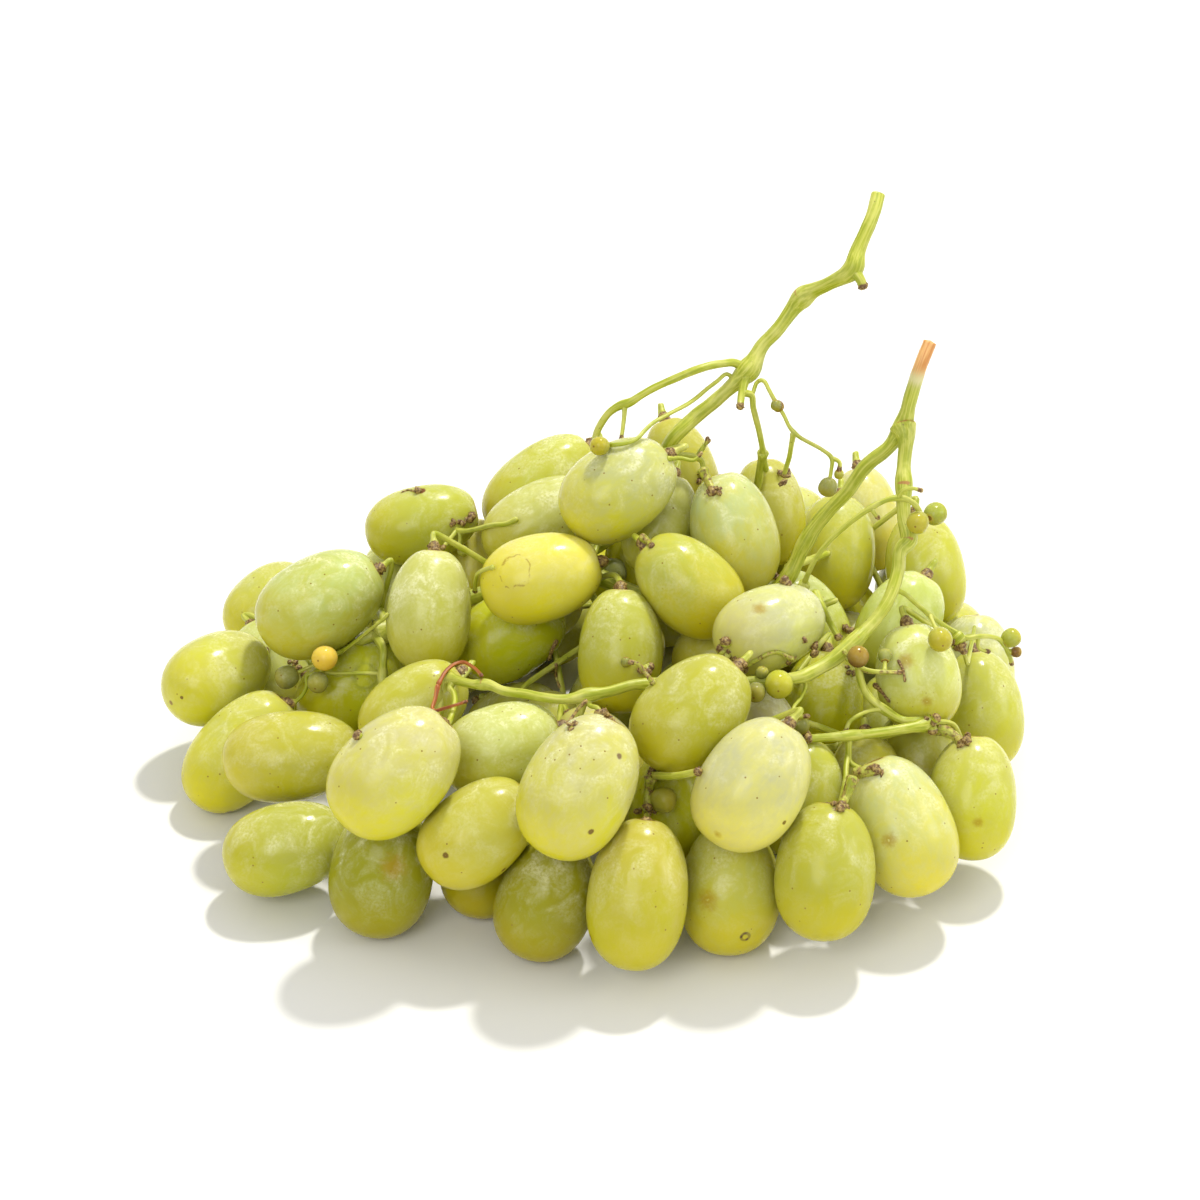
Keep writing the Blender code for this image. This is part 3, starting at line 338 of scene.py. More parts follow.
def seen_stem(
    width_start: float,
    width_end: float,
    *places: tuple[float, float, float],
    joins: int = -1,
    off_main: bool = False,
) -> Stem:
    """Makes a stem whose places the view shows.

    Args:
        width_start: width at its first place, in mm.
        width_end: width at its last place, in mm.
        *places: pixel column, pixel row and height in mm of each place.
        joins: the spray's berry that it ends in, or -1 for a bare end.
        off_main: whether it leaves the main stem, and not a stem of its own spray.

    Returns:
        The stem, before it is laid on the berries.
    """
    points = np.array([point_seen(*place) for place in places])
    end = StemEnd.SUNK if joins >= 0 else StemEnd.BARE
    return Stem(points, width_start, width_end, joins, off_main, ends_in_berry=joins >= 0, end=end)


@dataclass
class Shot:
    """An undeveloped berry, round, at the tip of a thin stem."""

    centre: Points
    width: float
    tint: Tint


def shot(u: float, v: float, height: float, width: float, tint: Tint) -> Shot:
    """Places a shot berry that the view shows at pixel u, v, at a height and of a width in mm."""
    return Shot(point_seen(u, v, height), width, tint)


@dataclass
class Spray:
    """One side branch: where it leaves the main stem, its berries, its seen stems and its shot berries."""

    name: str
    root: Points
    berries: list[Berry] = field(default_factory=list)
    stems: list[Stem] = field(default_factory=list)
    shots: list[Shot] = field(default_factory=list)
    joints: Points | None = None


def main_stem_of_the_bunch() -> Spray:
    """Makes the main stem: the rear stalk, its run inside the heap, the forked front stalk, shot berries."""
    rear_seen = (
        (878, 195, 115), (872, 217, 112), (858, 250, 106.5), (852, 270, 103), (830, 283, 99),
        (803, 297, 94), (778, 329, 87.5), (762, 346, 84), (748, 370, 79.5), (716, 400, 73.5),
        (695, 417, 70), (672, 440, 66),
    )
    rear_hidden = ((13, 33, 56), (8, 31, 45), (-6, 25, 37), (-26, 16, 34), (-48, 8, 29))
    left_seen = (
        (930, 342, 95), (920, 367, 90.5), (911, 396, 84), (903, 425, 77.5), (889, 447, 73),
        (866, 466, 68.5), (847, 492, 62.5), (831, 508, 58.5), (815, 527, 54), (804, 545, 50),
    )
    left_hidden = ((38, 8, 41), (26, 8, 35), (8, 15, 35), (-7, 25, 37))
    right_seen = (
        (903, 425, 77.5), (906, 441, 75.5), (904, 466, 72), (904, 490, 68.5), (904, 517, 64.5),
        (909, 539, 61), (900, 552, 59), (898, 571, 56.5), (890, 597, 53), (876, 619, 50),
        (857, 639, 47.5), (841, 653, 46), (831, 661, 45), (810, 673, 44), (795, 678, 43.5),
        (750, 682, 42), (700, 683, 42.5), (651, 684, 44), (632, 685, 44.5), (611, 691, 44),
        (589, 695, 43.5), (568, 699, 43), (547, 698, 43), (525, 694, 42.5), (504, 691, 42),
        (489, 685, 42), (472, 684, 41), (448, 678, 39),
    )
    stub_seen = ((852, 269, 103.2), (860, 279, 102), (864, 289, 100))
    knot_stub_seen = ((747, 372, 79.3), (742, 393, 76.5), (740, 409, 74.5))

    def route(places: tuple, hidden: tuple = ()) -> Points:
        """Joins the places that are seen and those that are hidden in one route."""
        met = [point_seen(*place) for place in places]
        return np.array(met + [np.array(place, float) for place in hidden])

    stems = [
        Stem(route(rear_seen, rear_hidden), 3.0, 3.2, start=StemEnd.CUT),
        Stem(route(left_seen, left_hidden), 2.9, 3.2, start=StemEnd.CUT, amber_tip=11.0),
        Stem(route(right_seen), 3.0, 1.8),
        Stem(route(stub_seen), 2.0, 1.8, end=StemEnd.BARE),
        Stem(route(knot_stub_seen), 2.0, 1.4, end=StemEnd.BARE),
    ]
    shots = [
        shot(779, 684, 43, 6.0, Tint.SHOT_BRIGHT),
        shot(762, 673, 44, 2.8, Tint.SHOT_OLIVE),
        shot(756, 692, 42, 4.2, Tint.SHOT_OLIVE),
    ]
    return Spray("main_stem", HEAP_MIDDLE, stems=stems, shots=shots)


def sprays_of_the_bunch() -> Iterator[Spray]:
    """Makes every spray: where it leaves the main stem, its berries, and what is seen of its stems."""
    yield Spray("spray_top", point_seen(592, 458, 59), berries=[
        seen(0, 619, 498, 55, 26.5, 19.5, 35, Tint.SUNNY, 0.6),
        seen(2, 540, 492, 43, 29, 18, 40, Tint.FRESH, 0.4),
        seen(2, 545, 530, 39, 27, 17, 30, Tint.PALE_GREEN, 0.6),
        inner(-16, 48, 22, 25, 17, 20),
        inner(-8, 60, 10, 26, 17.5, -25),
    ], stems=[
        seen_stem(
            1.8, 1.5, (735, 363, 81), (719, 364, 82), (699, 369, 82), (674, 379, 80), (650, 390, 77.5),
            (627, 404, 74), (614, 408, 72.5), (603, 421, 69.5), (596, 434, 66.5), (596, 447, 63.5),
            (590, 462, 57), off_main=True),
        seen_stem(
            0.9, 0.9, (599, 446, 64.5), (612, 445, 66), (627, 443, 67), (638, 438, 68), (650, 425, 70.5),
            (667, 415, 72.5), (691, 402, 75), (708, 388, 77), (727, 374, 79)),
        seen_stem(1.0, 0.8, (625, 409, 73), (623, 427, 70), (621, 441, 67.5)),
    ], shots=[shot(600, 446, 66, 4.2, Tint.SHOT_GREEN)])
    yield Spray("spray_top_rear", point_seen(674, 450, 63.5), berries=[
        seen(4, 682, 472, 47, 25, 15.5, 108, Tint.FRESH, 0.3),
        seen(3, 658, 515, 44, 23, 15.5, 75, Tint.PALE_GREEN, 0.6),
        seen(1, 731, 540, 46, 26.5, 18.5, 104, Tint.SUNNY, 0.45),
        inner(14, 56, 26, 25, 17, 15),
        inner(8, 48, 11, 25, 17, -30),
        inner(20, 68, 10, 26, 17, 30),
    ], stems=[
        seen_stem(
            1.2, 1.1, (672, 455, 63), (699, 457, 61.5), (701, 466, 59.5), (708, 483, 56.5), (712, 492, 55),
            joins=2),
        seen_stem(0.9, 0.8, (699, 457, 61.5), (702, 448, 63), (710, 439, 64.5)),
    ])
    yield Spray("spray_top_right", point_seen(763, 453, 62), berries=[
        seen(2, 768, 512, 42, 24, 16, 95, Tint.FRESH, 0.35),
        inner(40, 58, 24, 25, 17, -20),
        inner(44, 64, 10, 25, 17, 25),
        inner(30, 42, 11, 24, 17, 0),
    ], stems=[
        seen_stem(
            1.3, 1.2, (750, 381, 78.5), (753, 406, 73.5), (759, 430, 68), (763, 451, 62.5), (766, 470, 56),
            joins=0, off_main=True),
        seen_stem(
            0.9, 0.8, (760, 376, 79), (768, 387, 77.5), (773, 398, 75.5), (778, 406, 74), (785, 417, 72),
            (793, 432, 69.5), (812, 444, 68), (832, 457, 66), (831, 470, 63.5), (829, 484, 61)),
        seen_stem(1.1, 1.0, (793, 432, 69.5), (790, 455, 64), (786, 468, 61), (784, 477, 58)),
        seen_stem(0.8, 0.8, (832, 457, 66), (839, 457, 66), (839, 472, 63)),
    ], shots=[
        shot(828, 487, 60.5, 4.2, Tint.SHOT_OLIVE),
        shot(778, 406, 74, 2.6, Tint.SHOT_BROWN),
        shot(839, 474, 62.5, 2.2, Tint.SHOT_GREEN),
    ])
    yield Spray("spray_rear_right", np.array([40.0, 14.0, 42.0]), berries=[
        seen(2, 835, 555, 33, 26, 18.5, 84, Tint.RIPE, 0.3, marks=[Mark(822, 553, 1.0, Blemish.SPECK)]),
        seen(4, 866, 520, 30, 24, 15.5, 100, Tint.SUNNY, 0.3),
        seen(3, 926, 570, 27, 25.5, 17.5, 100, Tint.RIPE, 0.35),
        inner(66, 52, 11, 25, 17, 35),
        inner(54, 44, 12, 24, 16.5, -30),
    ])
    yield Spray("spray_right_upper", point_seen(804, 585, 48.5), berries=[
        seen(3, 798, 604, 28, 24, 17, 120, Tint.PALE_GREEN, 0.5),
        seen(6, 838, 632, 22, 22, 15.5, 90, Tint.FRESH, 0.3),
    ], stems=[
        seen_stem(
            1.2, 1.0, (910, 533, 62), (920, 532, 62), (927, 520, 65), (925, 507, 67.5), (916, 496, 70),
            (903, 490, 72), (888, 494, 71), (874, 505, 68.5), (856, 517, 65.5), (839, 531, 62),
            (822, 545, 58.5), (812, 562, 54.5), (805, 577, 50.5), (803, 592, 46), joins=0, off_main=True),
        seen_stem(0.9, 0.8, (903, 490, 72), (912, 488, 72.5), (923, 491, 72)),
        seen_stem(0.8, 0.8, (869, 508, 68), (875, 514, 66.5), (879, 519, 65)),
    ], shots=[shot(918, 522, 63, 4.8, Tint.SHOT_GREEN), shot(935, 514, 64, 5.0, Tint.SHOT_GREEN)])
    yield Spray("spray_right", point_seen(958, 638, 42.5), berries=[
        seen(3, 982, 710, 15, 26, 18, 97, Tint.RIPE, 0.35),
        seen(5, 975, 668, 14, 24, 17, 90, Tint.WHITISH, 0.7),
        seen(
            3, 912, 690, 28, 23, 17.5, 100, Tint.PALE_GREEN, 0.65,
            marks=[Mark(908, 660, 5.0, Blemish.BRUISE), Mark(925, 700, 3.0, Blemish.BRUISE)]),
        inner(70, 35, 10, 24, 16.5, 60),
    ], stems=[
        seen_stem(
            1.0, 0.9, (898, 588, 54.5), (918, 605, 50.5), (935, 619, 47), (952, 630, 44), (967, 638, 41.5),
            (982, 636, 41), (999, 639, 39), (1008, 652, 35), (1012, 665, 31), off_main=True),
        seen_stem(0.8, 0.8, (978, 637, 41), (978, 648, 38.5), (990, 652, 37)),
        seen_stem(0.9, 0.9, (957, 634, 43), (951, 640, 41), (944, 640, 40)),
        seen_stem(0.9, 0.9, (957, 640, 42), (962, 650, 38), (968, 662, 32), joins=1),
    ], shots=[
        shot(940, 639, 39.5, 5.2, Tint.SHOT_GREEN),
        shot(1011, 638, 38.5, 4.2, Tint.SHOT_GREEN),
        shot(1016, 652, 35, 2.4, Tint.SHOT_BROWN),
    ])
    yield Spray("spray_right_inner", point_seen(840, 655, 45.5), berries=[
        seen(5, 889, 628, 26, 24, 17, 60, Tint.PALE_GREEN, 0.45),
        seen(5, 893, 722, 22, 23, 15.5, 95, Tint.FRESH, 0.4),
        inner(58, 24, 12, 25, 17, -35),
        inner(62, 0, 10, 25, 17, 30),
    ], stems=[
        seen_stem(0.9, 0.8, (846, 656, 46), (856, 669, 43.5), (874, 674, 42), (891, 672, 42), (903, 672, 41)),
    ], shots=[shot(858, 657, 43, 4.6, Tint.SHOT_BROWN), shot(885, 656, 40, 3.0, Tint.SHOT_OLIVE)])
    yield Spray("spray_right_front", point_seen(925, 725, 33), berries=[
        seen(2, 959, 797, 14, 26, 18.5, 88, Tint.RIPE, 0.3, marks=[Mark(978, 822, 3.0, Blemish.BRUISE)]),
        seen(4, 921, 762, 17, 24, 16.5, 95, Tint.FRESH, 0.35),
        seen(1, 898, 825, 15, 29.5, 21, 112, Tint.SUNNY, 0.45, marks=[Mark(888, 843, 4.5, Blemish.BRUISE)]),
        seen(0, 827, 869, 14, 28, 20, 86, Tint.FRESH, 0.35),
        seen(2, 866, 790, 22, 24, 16, 90, Tint.FRESH, 0.4),
        seen(3, 806, 795, 24, 23, 15.5, 90, Tint.FRESH, 0.5),
        inner(40, -30, 11, 24, 17, -20),
    ], stems=[
        seen_stem(
            1.7, 1.7, (858, 650, 46.5), (860, 677, 41), (869, 697, 37), (884, 709, 35), (901, 720, 33),
            (918, 721, 33), (931, 723, 32.5), off_main=True),
        seen_stem(
            2.3, 1.7, (936, 725, 33), (925, 726, 33.5), (901, 729, 33), (876, 734, 32.5), (848, 736, 32.5),
            (822, 738, 32), (805, 739, 31.5)),
        seen_stem(0.9, 0.9, (884, 709, 35), (869, 711, 35.5), (850, 721, 34.5), (845, 735, 32.5)),
        seen_stem(1.1, 1.0, (933, 723, 32.5), (950, 722, 31.5), (959, 733, 29), (962, 748, 26), joins=0),
        seen_stem(1.1, 1.0, (850, 762, 29.5), (860, 768, 28.5), (869, 771, 27.5), (880, 774, 26.5), joins=2),
        seen_stem(
            1.2, 1.1, (848, 737, 32.5), (848, 750, 31), (846, 769, 29.5), (845, 786, 28), (841, 799, 26.5),
            (839, 812, 25), joins=3),
    ])
    yield Spray("spray_right_centre", point_seen(812, 676, 43), berries=[
        seen(3, 818, 712, 31, 24, 17.5, 85, Tint.GREEN, 0.5),
        seen(3, 765, 742, 30, 22, 15, 95, Tint.WHITISH, 0.8),
    ], stems=[
        seen_stem(0.8, 0.8, (800, 700, 40), (790, 715, 38.5), (810, 716, 39)),
    ], shots=[shot(800, 725, 35, 4.0, Tint.SHOT_OLIVE)])
    yield Spray("spray_centre", np.array([22.0, 8.0, 36.0]), berries=[
        seen(
            0, 769, 630, 42, 24.5, 17.5, 22, Tint.WHITISH, 0.5, nod=-20,
            marks=[Mark(760, 606, 4.0, Blemish.BRUISE)]),
        seen(3, 722, 645, 34, 23, 16, 20, Tint.FRESH, 0.35),
        seen(0, 691, 587, 43, 25.5, 18, 138, Tint.FRESH, 0.35),
        inner(32, 24, 22, 24, 16, 30),
        inner(20, -6, 18, 24, 16, -30),
        inner(36, 8, 10, 25, 17, 60),
    ])
    yield Spray("spray_centre_left", np.array([-6.0, 17.0, 42.0]), berries=[
        seen(2, 620, 650, 38, 26.5, 17.5, 88, Tint.FRESH, 0.4),
        seen(5, 640, 560, 32, 22, 15.5, 90, Tint.GREEN, 0.3),
        inner(-8, -14, 18, 23, 15.5, 60),
        inner(0, 4, 12, 25, 17, -50),
        inner(6, 26, 14, 24, 16.5, 40),
    ])
    yield Spray("spray_top_left", np.array([-22.0, 18.0, 40.0]), berries=[
        seen(1, 548, 576, 43, 26, 18.5, 15, Tint.GOLDEN, 0.25, marks=[Mark(515, 570, 7.5, Blemish.CRACK)]),
        seen(2, 508, 628, 37, 25, 18.5, 30, Tint.GREEN, 0.5),
        seen(1, 432, 611, 37, 26.5, 18, 86, Tint.PALE_GREEN, 0.65),
        inner(-24, 30, 20, 25, 17, 25),
        inner(-22, 6, 12, 25, 17, -40),
        inner(-9, 41, 9, 23, 15, 70),
    ], stems=[seen_stem(0.9, 0.9, (495, 567, 46), (478, 573, 45), (475, 592, 41))])
    yield Spray("spray_rear_left", np.array([-34.0, 14.0, 36.0]), berries=[
        seen(1, 422, 526, 31, 25.5, 17, 15, Tint.FRESH, 0.4, marks=[Mark(420, 491, 2.4, Blemish.CORK)]),
        seen(3, 480, 568, 27, 24, 17, 100, Tint.RIPE, 0.3),
        inner(-34, 56, 11, 25, 17, 25),
        inner(-36, 36, 11, 24, 17, -30),
    ], stems=[
        seen_stem(
            1.1, 1.1, (517, 523, 47), (493, 525, 44), (472, 530, 41), (458, 531, 39), (448, 526, 38), joins=0,
        ),
        seen_stem(0.9, 0.9, (455, 533, 39), (449, 540, 39), (442, 549, 39)),
        seen_stem(0.8, 0.8, (460, 533, 39), (460, 541, 38), (459, 550, 37)),
    ], shots=[shot(463, 551, 36, 2.6, Tint.SHOT_GREEN)])
    yield Spray("spray_left_upper", np.array([-46.0, 9.0, 31.5]), berries=[
        seen(1, 324, 608, 29, 29, 20.5, 30, Tint.PALE_GREEN, 0.55),
        seen(4, 270, 606, 14, 23, 17, 45, Tint.RIPE, 0.4, nod=-20),
        seen(5, 393, 592, 22, 24, 16.5, 90, Tint.PALE_GREEN, 0.6),
        inner(-54, 44, 10, 25, 17, 30),
    ], stems=[
        seen_stem(0.7, 0.7, (396, 611, 36), (370, 629, 31), (351, 646, 28), (340, 656, 26), (328, 659, 25)),
    ], shots=[
        shot(325, 658, 24, 5.6, Tint.SHOT_AMBER),
        shot(318, 682, 22, 4.6, Tint.SHOT_OLIVE),
        shot(287, 677, 22, 5.2, Tint.SHOT_OLIVE),
    ])
    yield Spray("spray_left_low", np.array([-50.0, 6.0, 29.0]), berries=[
        seen(
            1, 222, 680, 14, 26, 18.5, 30, Tint.RIPE, 0.45, nod=-35,
            marks=[Mark(182, 697, 1.0, Blemish.SPECK)]),
        seen(3, 275, 675, 13, 25, 17.5, 120, Tint.PALE_GREEN, 0.4, nod=-20),
        seen(2, 352, 682, 20, 27.5, 19, 45, Tint.GREEN, 0.5, marks=[Mark(363, 676, 7.0, Blemish.RING)]),
        inner(-54, 16, 10, 25, 17, -30),
    ])
    yield Spray("spray_left_front", np.array([-46.0, 2.0, 29.0]), berries=[
        seen(1, 240, 758, 12, 29.5, 18.5, 50, Tint.RIPE, 0.45, marks=[Mark(228, 813, 2.0, Blemish.SPECK)]),
        seen(0, 291, 755, 16, 29, 19, 5, Tint.FRESH, 0.45),
        inner(-44, -8, 11, 24, 17, 40),
    ], stems=[seen_stem(0.8, 0.8, (312, 674, 24), (305, 690, 22), (297, 702, 21), joins=0)])
    yield Spray("spray_front_left", point_seen(446, 681, 38), berries=[
        seen(0, 396, 777, 31, 29.5, 21.5, 45, Tint.SUNNY, 0.5),
        seen(3, 412, 712, 27, 25, 17.5, 38, Tint.FRESH, 0.4),
        seen(1, 288, 848, 12, 26.5, 18.5, 15, Tint.FRESH, 0.6),
        # The next two berries are painted darker olive as painted shade.
        seen(
            1, 387, 886, 13, 28, 21, 80, Tint.PAINTED_SHADE_OLIVE, 0.5, nod=18, marks=[Mark(396, 868, 8.0, Blemish.BRUISE)],
        ),
        seen(4, 487, 866, 12, 24, 17.5, 80, Tint.PAINTED_SHADE_OLIVE, 0.3),
    ], stems=[
        seen_stem(1.3, 1.2, (452, 688, 38.5), (455, 700, 38), (453, 710, 37.5), (449, 722, 37), joins=0),
    ])
    yield Spray("spray_front_centre", point_seen(587, 698, 43), berries=[
        seen(2, 503, 750, 31, 25.5, 18.5, 20, Tint.PALE_GREEN, 0.6),
        seen(
            1, 482, 828, 25, 26, 18.5, 40, Tint.FRESH, 0.4,
            marks=[Mark(445, 855, 1.6, Blemish.SPECK), Mark(505, 868, 1.6, Blemish.SPECK)]),
        seen(
            0, 575, 788, 34, 30, 21.5, 63, Tint.SUNNY, 0.5,
            marks=[Mark(621, 757, 1.6, Blemish.SPECK), Mark(589, 833, 1.6, Blemish.SPECK)]),
        # Painted darker olive as painted shade.
        seen(3, 548, 903, 13, 26, 19.5, 70, Tint.PAINTED_SHADE_OLIVE, 0.45, nod=15),
        inner(2, -30, 22, 23, 15.5, 30),
        inner(-20, -38, 11, 24, 17, 20),
    ], stems=[seen_stem(1.0, 0.9, (594, 704, 43), (600, 712, 42.5), (603, 722, 42), joins=2)])
    yield Spray("spray_front_low", point_seen(690, 688, 41), berries=[
        seen(1, 630, 892, 15, 30.5, 20, 84, Tint.FRESH, 0.35, marks=[Mark(590, 939, 1.6, Blemish.SPECK)]),
        seen(0, 691, 712, 40, 27, 20, 45, Tint.FRESH, 0.4),
        seen(
            0, 750, 786, 33, 28, 21, 58, Tint.WHITISH, 0.35,
            marks=[Mark(719, 835, 2.4, Blemish.BRUISE), Mark(786, 822, 1.4, Blemish.SPECK)]),
        seen(
            2, 729, 890, 14, 27, 20, 88, Tint.FRESH, 0.35,
            marks=[Mark(745, 936, 2.5, Blemish.CORK_RING), Mark(706, 900, 6.0, Blemish.BRUISE)]),
        seen(4, 672, 810, 22, 24, 16.5, 90, Tint.GREEN, 0.3),
        inner(10, -34, 12, 24, 17, -20),
    ], stems=[
        seen_stem(1.2, 1.2, (651, 775, 30), (650, 787, 29), (646, 802, 27.5), (647, 814, 26), joins=0),
        seen_stem(1.7, 1.5, (651, 775, 30), (675, 776, 31), (700, 771, 32)),
    ], shots=[shot(663, 800, 27, 5.4, Tint.SHOT_GREEN)])


def tendril_of_the_bunch() -> Spray:
    """Makes the dried tendril that curls on the heap's left front, and its hooked branch."""
    stems = [
        seen_stem(0.9, 0.7, (438, 685, 40), (447, 670, 41), (461, 662, 41), (474, 668, 42), (482, 676, 43)),
        seen_stem(
            0.9, 0.6, (438, 685, 40), (434, 704, 38), (432, 711, 37.5), (449, 707, 39), (468, 701, 40.5)
        ),
    ]
    return Spray("dried_tendril", HEAP_MIDDLE, stems=stems)


def berry_profile(length: float, width: float, steps: int) -> tuple[Points, Points]:
    """Works out a berry's outline, a superellipse that is narrower at its stem end.

    Args:
        length: the berry's length, in mm.
        width: its thickness, in mm.
        steps: number of stretches from end to end.

    Returns:
        Distances along and from the long axis, from the stem end round to the blossom end.
    """
    turn = np.linspace(0.0, math.pi, steps + 1)
    power = 2.0 / BERRY_FULLNESS
    along = np.sign(np.cos(turn)) * np.abs(np.cos(turn)) ** power
    across = np.abs(np.sin(turn)) ** power * (1.0 - BERRY_TAPER * along)
    return along * length / 2.0, across * width / 2.0


def berry_chain(berry: Berry) -> Spheres:
    """Gives the offsets along the axis and the radii of the spheres that fill a berry for contacts."""
    along, across = berry_profile(berry.length, berry.width, PROFILE_STEPS)
    offsets = np.linspace(-CHAIN_REACH, CHAIN_REACH, CHAIN_SPHERES) * berry.length / 2.0
    radii = np.hypot(along[None, :] - offsets[:, None], across[None, :]).min(axis=1)
    return offsets, radii


def lowest_reach(berry: Berry) -> float:
    """Gives how far a berry's lowest point is below its centre, in mm."""
    along, across = berry_profile(berry.length, berry.width, PROFILE_STEPS)
    slope = math.sqrt(max(0.0, 1.0 - berry.axis[2] ** 2))
    return float((across * slope - along * berry.axis[2]).max())


def smooth_route(points: Points, spacing: float) -> Points:
    """Puts a Catmull-Rom curve through a route's points.

    Args:
        points: the route's points, in mm.
        spacing: about how far apart the curve's points are, in mm.

    Returns:
        The curve's points.
    """
    points = np.asarray(points, float)
    padded = np.vstack([2 * points[0] - points[1], points, 2 * points[-1] - points[-2]])
    out = []
    for before, start, end, after in zip(padded, padded[1:], padded[2:], padded[3:]):
        count = max(1, int(math.ceil(norm(end - start) / spacing)))
        step = (np.arange(count) / count)[:, None]
        out.append(
            0.5
            * (
                2 * start
                + (end - before) * step
                + (2 * before - 5 * start + 4 * end - after) * step**2
                + (3 * start - before - 3 * end + after) * step**3
            )
        )
    return np.vstack([*out, points[-1:]])


def unit_rows(rows: Points) -> Points:
    """Gives the rows' directions, each of length 1."""
    return rows / norm(rows, axis=1, keepdims=True)


def reach_along(path: Points) -> Points:
    """Gives how far along a route each of its points is, in mm."""
    return np.concatenate([[0.0], np.cumsum(norm(np.diff(path, axis=0), axis=1))])


def resampled(points: Points, spacing: float) -> Points:
    """Gives points evenly along the smooth curve through a route, about this far apart in mm."""
    fine = smooth_route(points, ROUTE_SPACING)
    along = reach_along(fine)
    count = max(2, int(math.ceil(along[-1] / spacing))) + 1
    stations = np.linspace(0.0, along[-1], count)
    return np.column_stack([np.interp(stations, along, fine[:, axis]) for axis in range(3)])


def chain_of(stem: Stem, spacing: float = BEAD_SPACING) -> Spheres:
    """Gives the centres and radii of spheres along a stem."""
    centres = smooth_route(stem.points, spacing)
    return centres, np.linspace(stem.width_start, stem.width_end, len(centres)) / 2.0


def all_chains(stems: list[Stem]) -> Spheres:
    """Gives the spheres of several stems as one pair of arrays."""
    return together((np.zeros((0, 3)), np.zeros(0)), *(chain_of(stem) for stem in stems))


def berry_balls(berries: list[Berry]) -> Spheres:
    """Gives the spheres of several berries as one pair of arrays."""
    chains = [(berry, *berry_chain(berry)) for berry in berries]
    return together(*((berry.centre + along[:, None] * berry.axis, radii) for berry, along, radii in chains))


def together(*pairs: tuple) -> tuple:
    """Joins several sets of arrays, such as centres and radii, in one set."""
    return tuple(np.concatenate(column) for column in zip(*pairs))


def stem_end(berry: Berry, beyond: float) -> Points:
    """Gives the point this far beyond a berry's stem end, on its axis, in mm."""
    return berry.centre + berry.axis * (berry.length / 2.0 + beyond)


def nearest_of(places: Points, point: Points) -> Points:
    """Gives the one of these places that is nearest to the point."""
    return places[np.argmin(norm(places - point, axis=1))]


def room_left(points: Points, spheres: Spheres) -> Points:
    """Gives the distance from each point to the nearest of the spheres' surfaces."""
    balls, sizes = spheres
    return (norm(points[:, None, :] - balls[None, :, :], axis=2) - sizes[None, :]).min(axis=1)


def hidden_stems(spray: Spray) -> list[Stem]:
    """Makes the side stem from a spray's root to its middle, and the pedicels of berries with no stem seen.

    Args:
        spray: the spray.

    Returns:
        The side stem, then a pedicel for each of those berries, or nothing where there is no such berry.
    """
    hung = {stem.joins for stem in spray.stems}
    free = [berry for index, berry in enumerate(spray.berries) if index not in hung]
    if not free:
        return []
    tips = np.array([stem_end(berry, PEDICEL_LENGTH) + PEDICEL_DIVE * FORWARD for berry in free])
    middles = np.array([berry.centre for berry in free])
    hub = HUB_SHARE * tips.mean(axis=0) + (1.0 - HUB_SHARE) * middles.mean(axis=0)
    side = Stem(np.array([spray.root, 0.5 * (spray.root + hub), hub]), SIDE_STEM_WIDTH, PEDICEL_WIDTH)
    route = smooth_route(side.points, FINE_SPACING)
    leafy = route[int(len(route) * BARE_SHARE) :]
    stems = [side]
    for berry, tip in zip(free, tips):
        sunk = stem_end(berry, -STEM_SINK)
        bend = sunk + (tip - sunk) * PEDICEL_BEND
        places = np.array([sunk, bend, tip, nearest_of(leafy, tip)])
        stems.append(Stem(places, PEDICEL_WIDTH, PEDICEL_WIDTH, starts_in_berry=True))
    return stems


def laid_on(points: Points, half: Points, spheres: Spheres) -> Points:
    """Moves places towards the viewer until what is drawn along them lies on the spheres and not in them.

    Args:
        points: the places, in mm.
        half: half the width at each place.
        spheres: the spheres.

    Returns:
        The moved places.
    """
    sight = unit_rows(points - VIEW_EYE)
    lift = np.zeros(len(points))
    for _ in range(LAY_STEPS):
        short = np.clip(half + STEM_GAP - room_left(points - sight * lift[:, None], spheres), 0.0, None)
        if short.max() < CLEAR_ENOUGH:
            break
        lift += short * LIFT_SHARE
        level = lift.copy()
        bend = lift[:-2] + lift[2:] - 2.0 * lift[1:-1]
        level[1:-1] = np.maximum(lift[1:-1], lift[1:-1] + EASE_SHARE * bend)
        lift = level
    return points - sight * lift[:, None]


def cut_back(stem: Stem, spheres: Spheres, cut_end: bool = False) -> None:
    """Cuts a stem's start, or its end, back to just off the spheres.

    Args:
        stem: the stem, which changes.
        spheres: the spheres.
        cut_end: whether it is the end that is cut.
    """
    points = resampled(stem.points, FINE_SPACING)
    half = np.linspace(stem.width_start, stem.width_end, len(points)) / 2.0
    free = np.nonzero(room_left(points, spheres) - half >= ROOT_GAP)[0]
    if len(free) > 3:
        points = points[: free[-1] + 1] if cut_end else points[free[0] :]
    stem.points = points


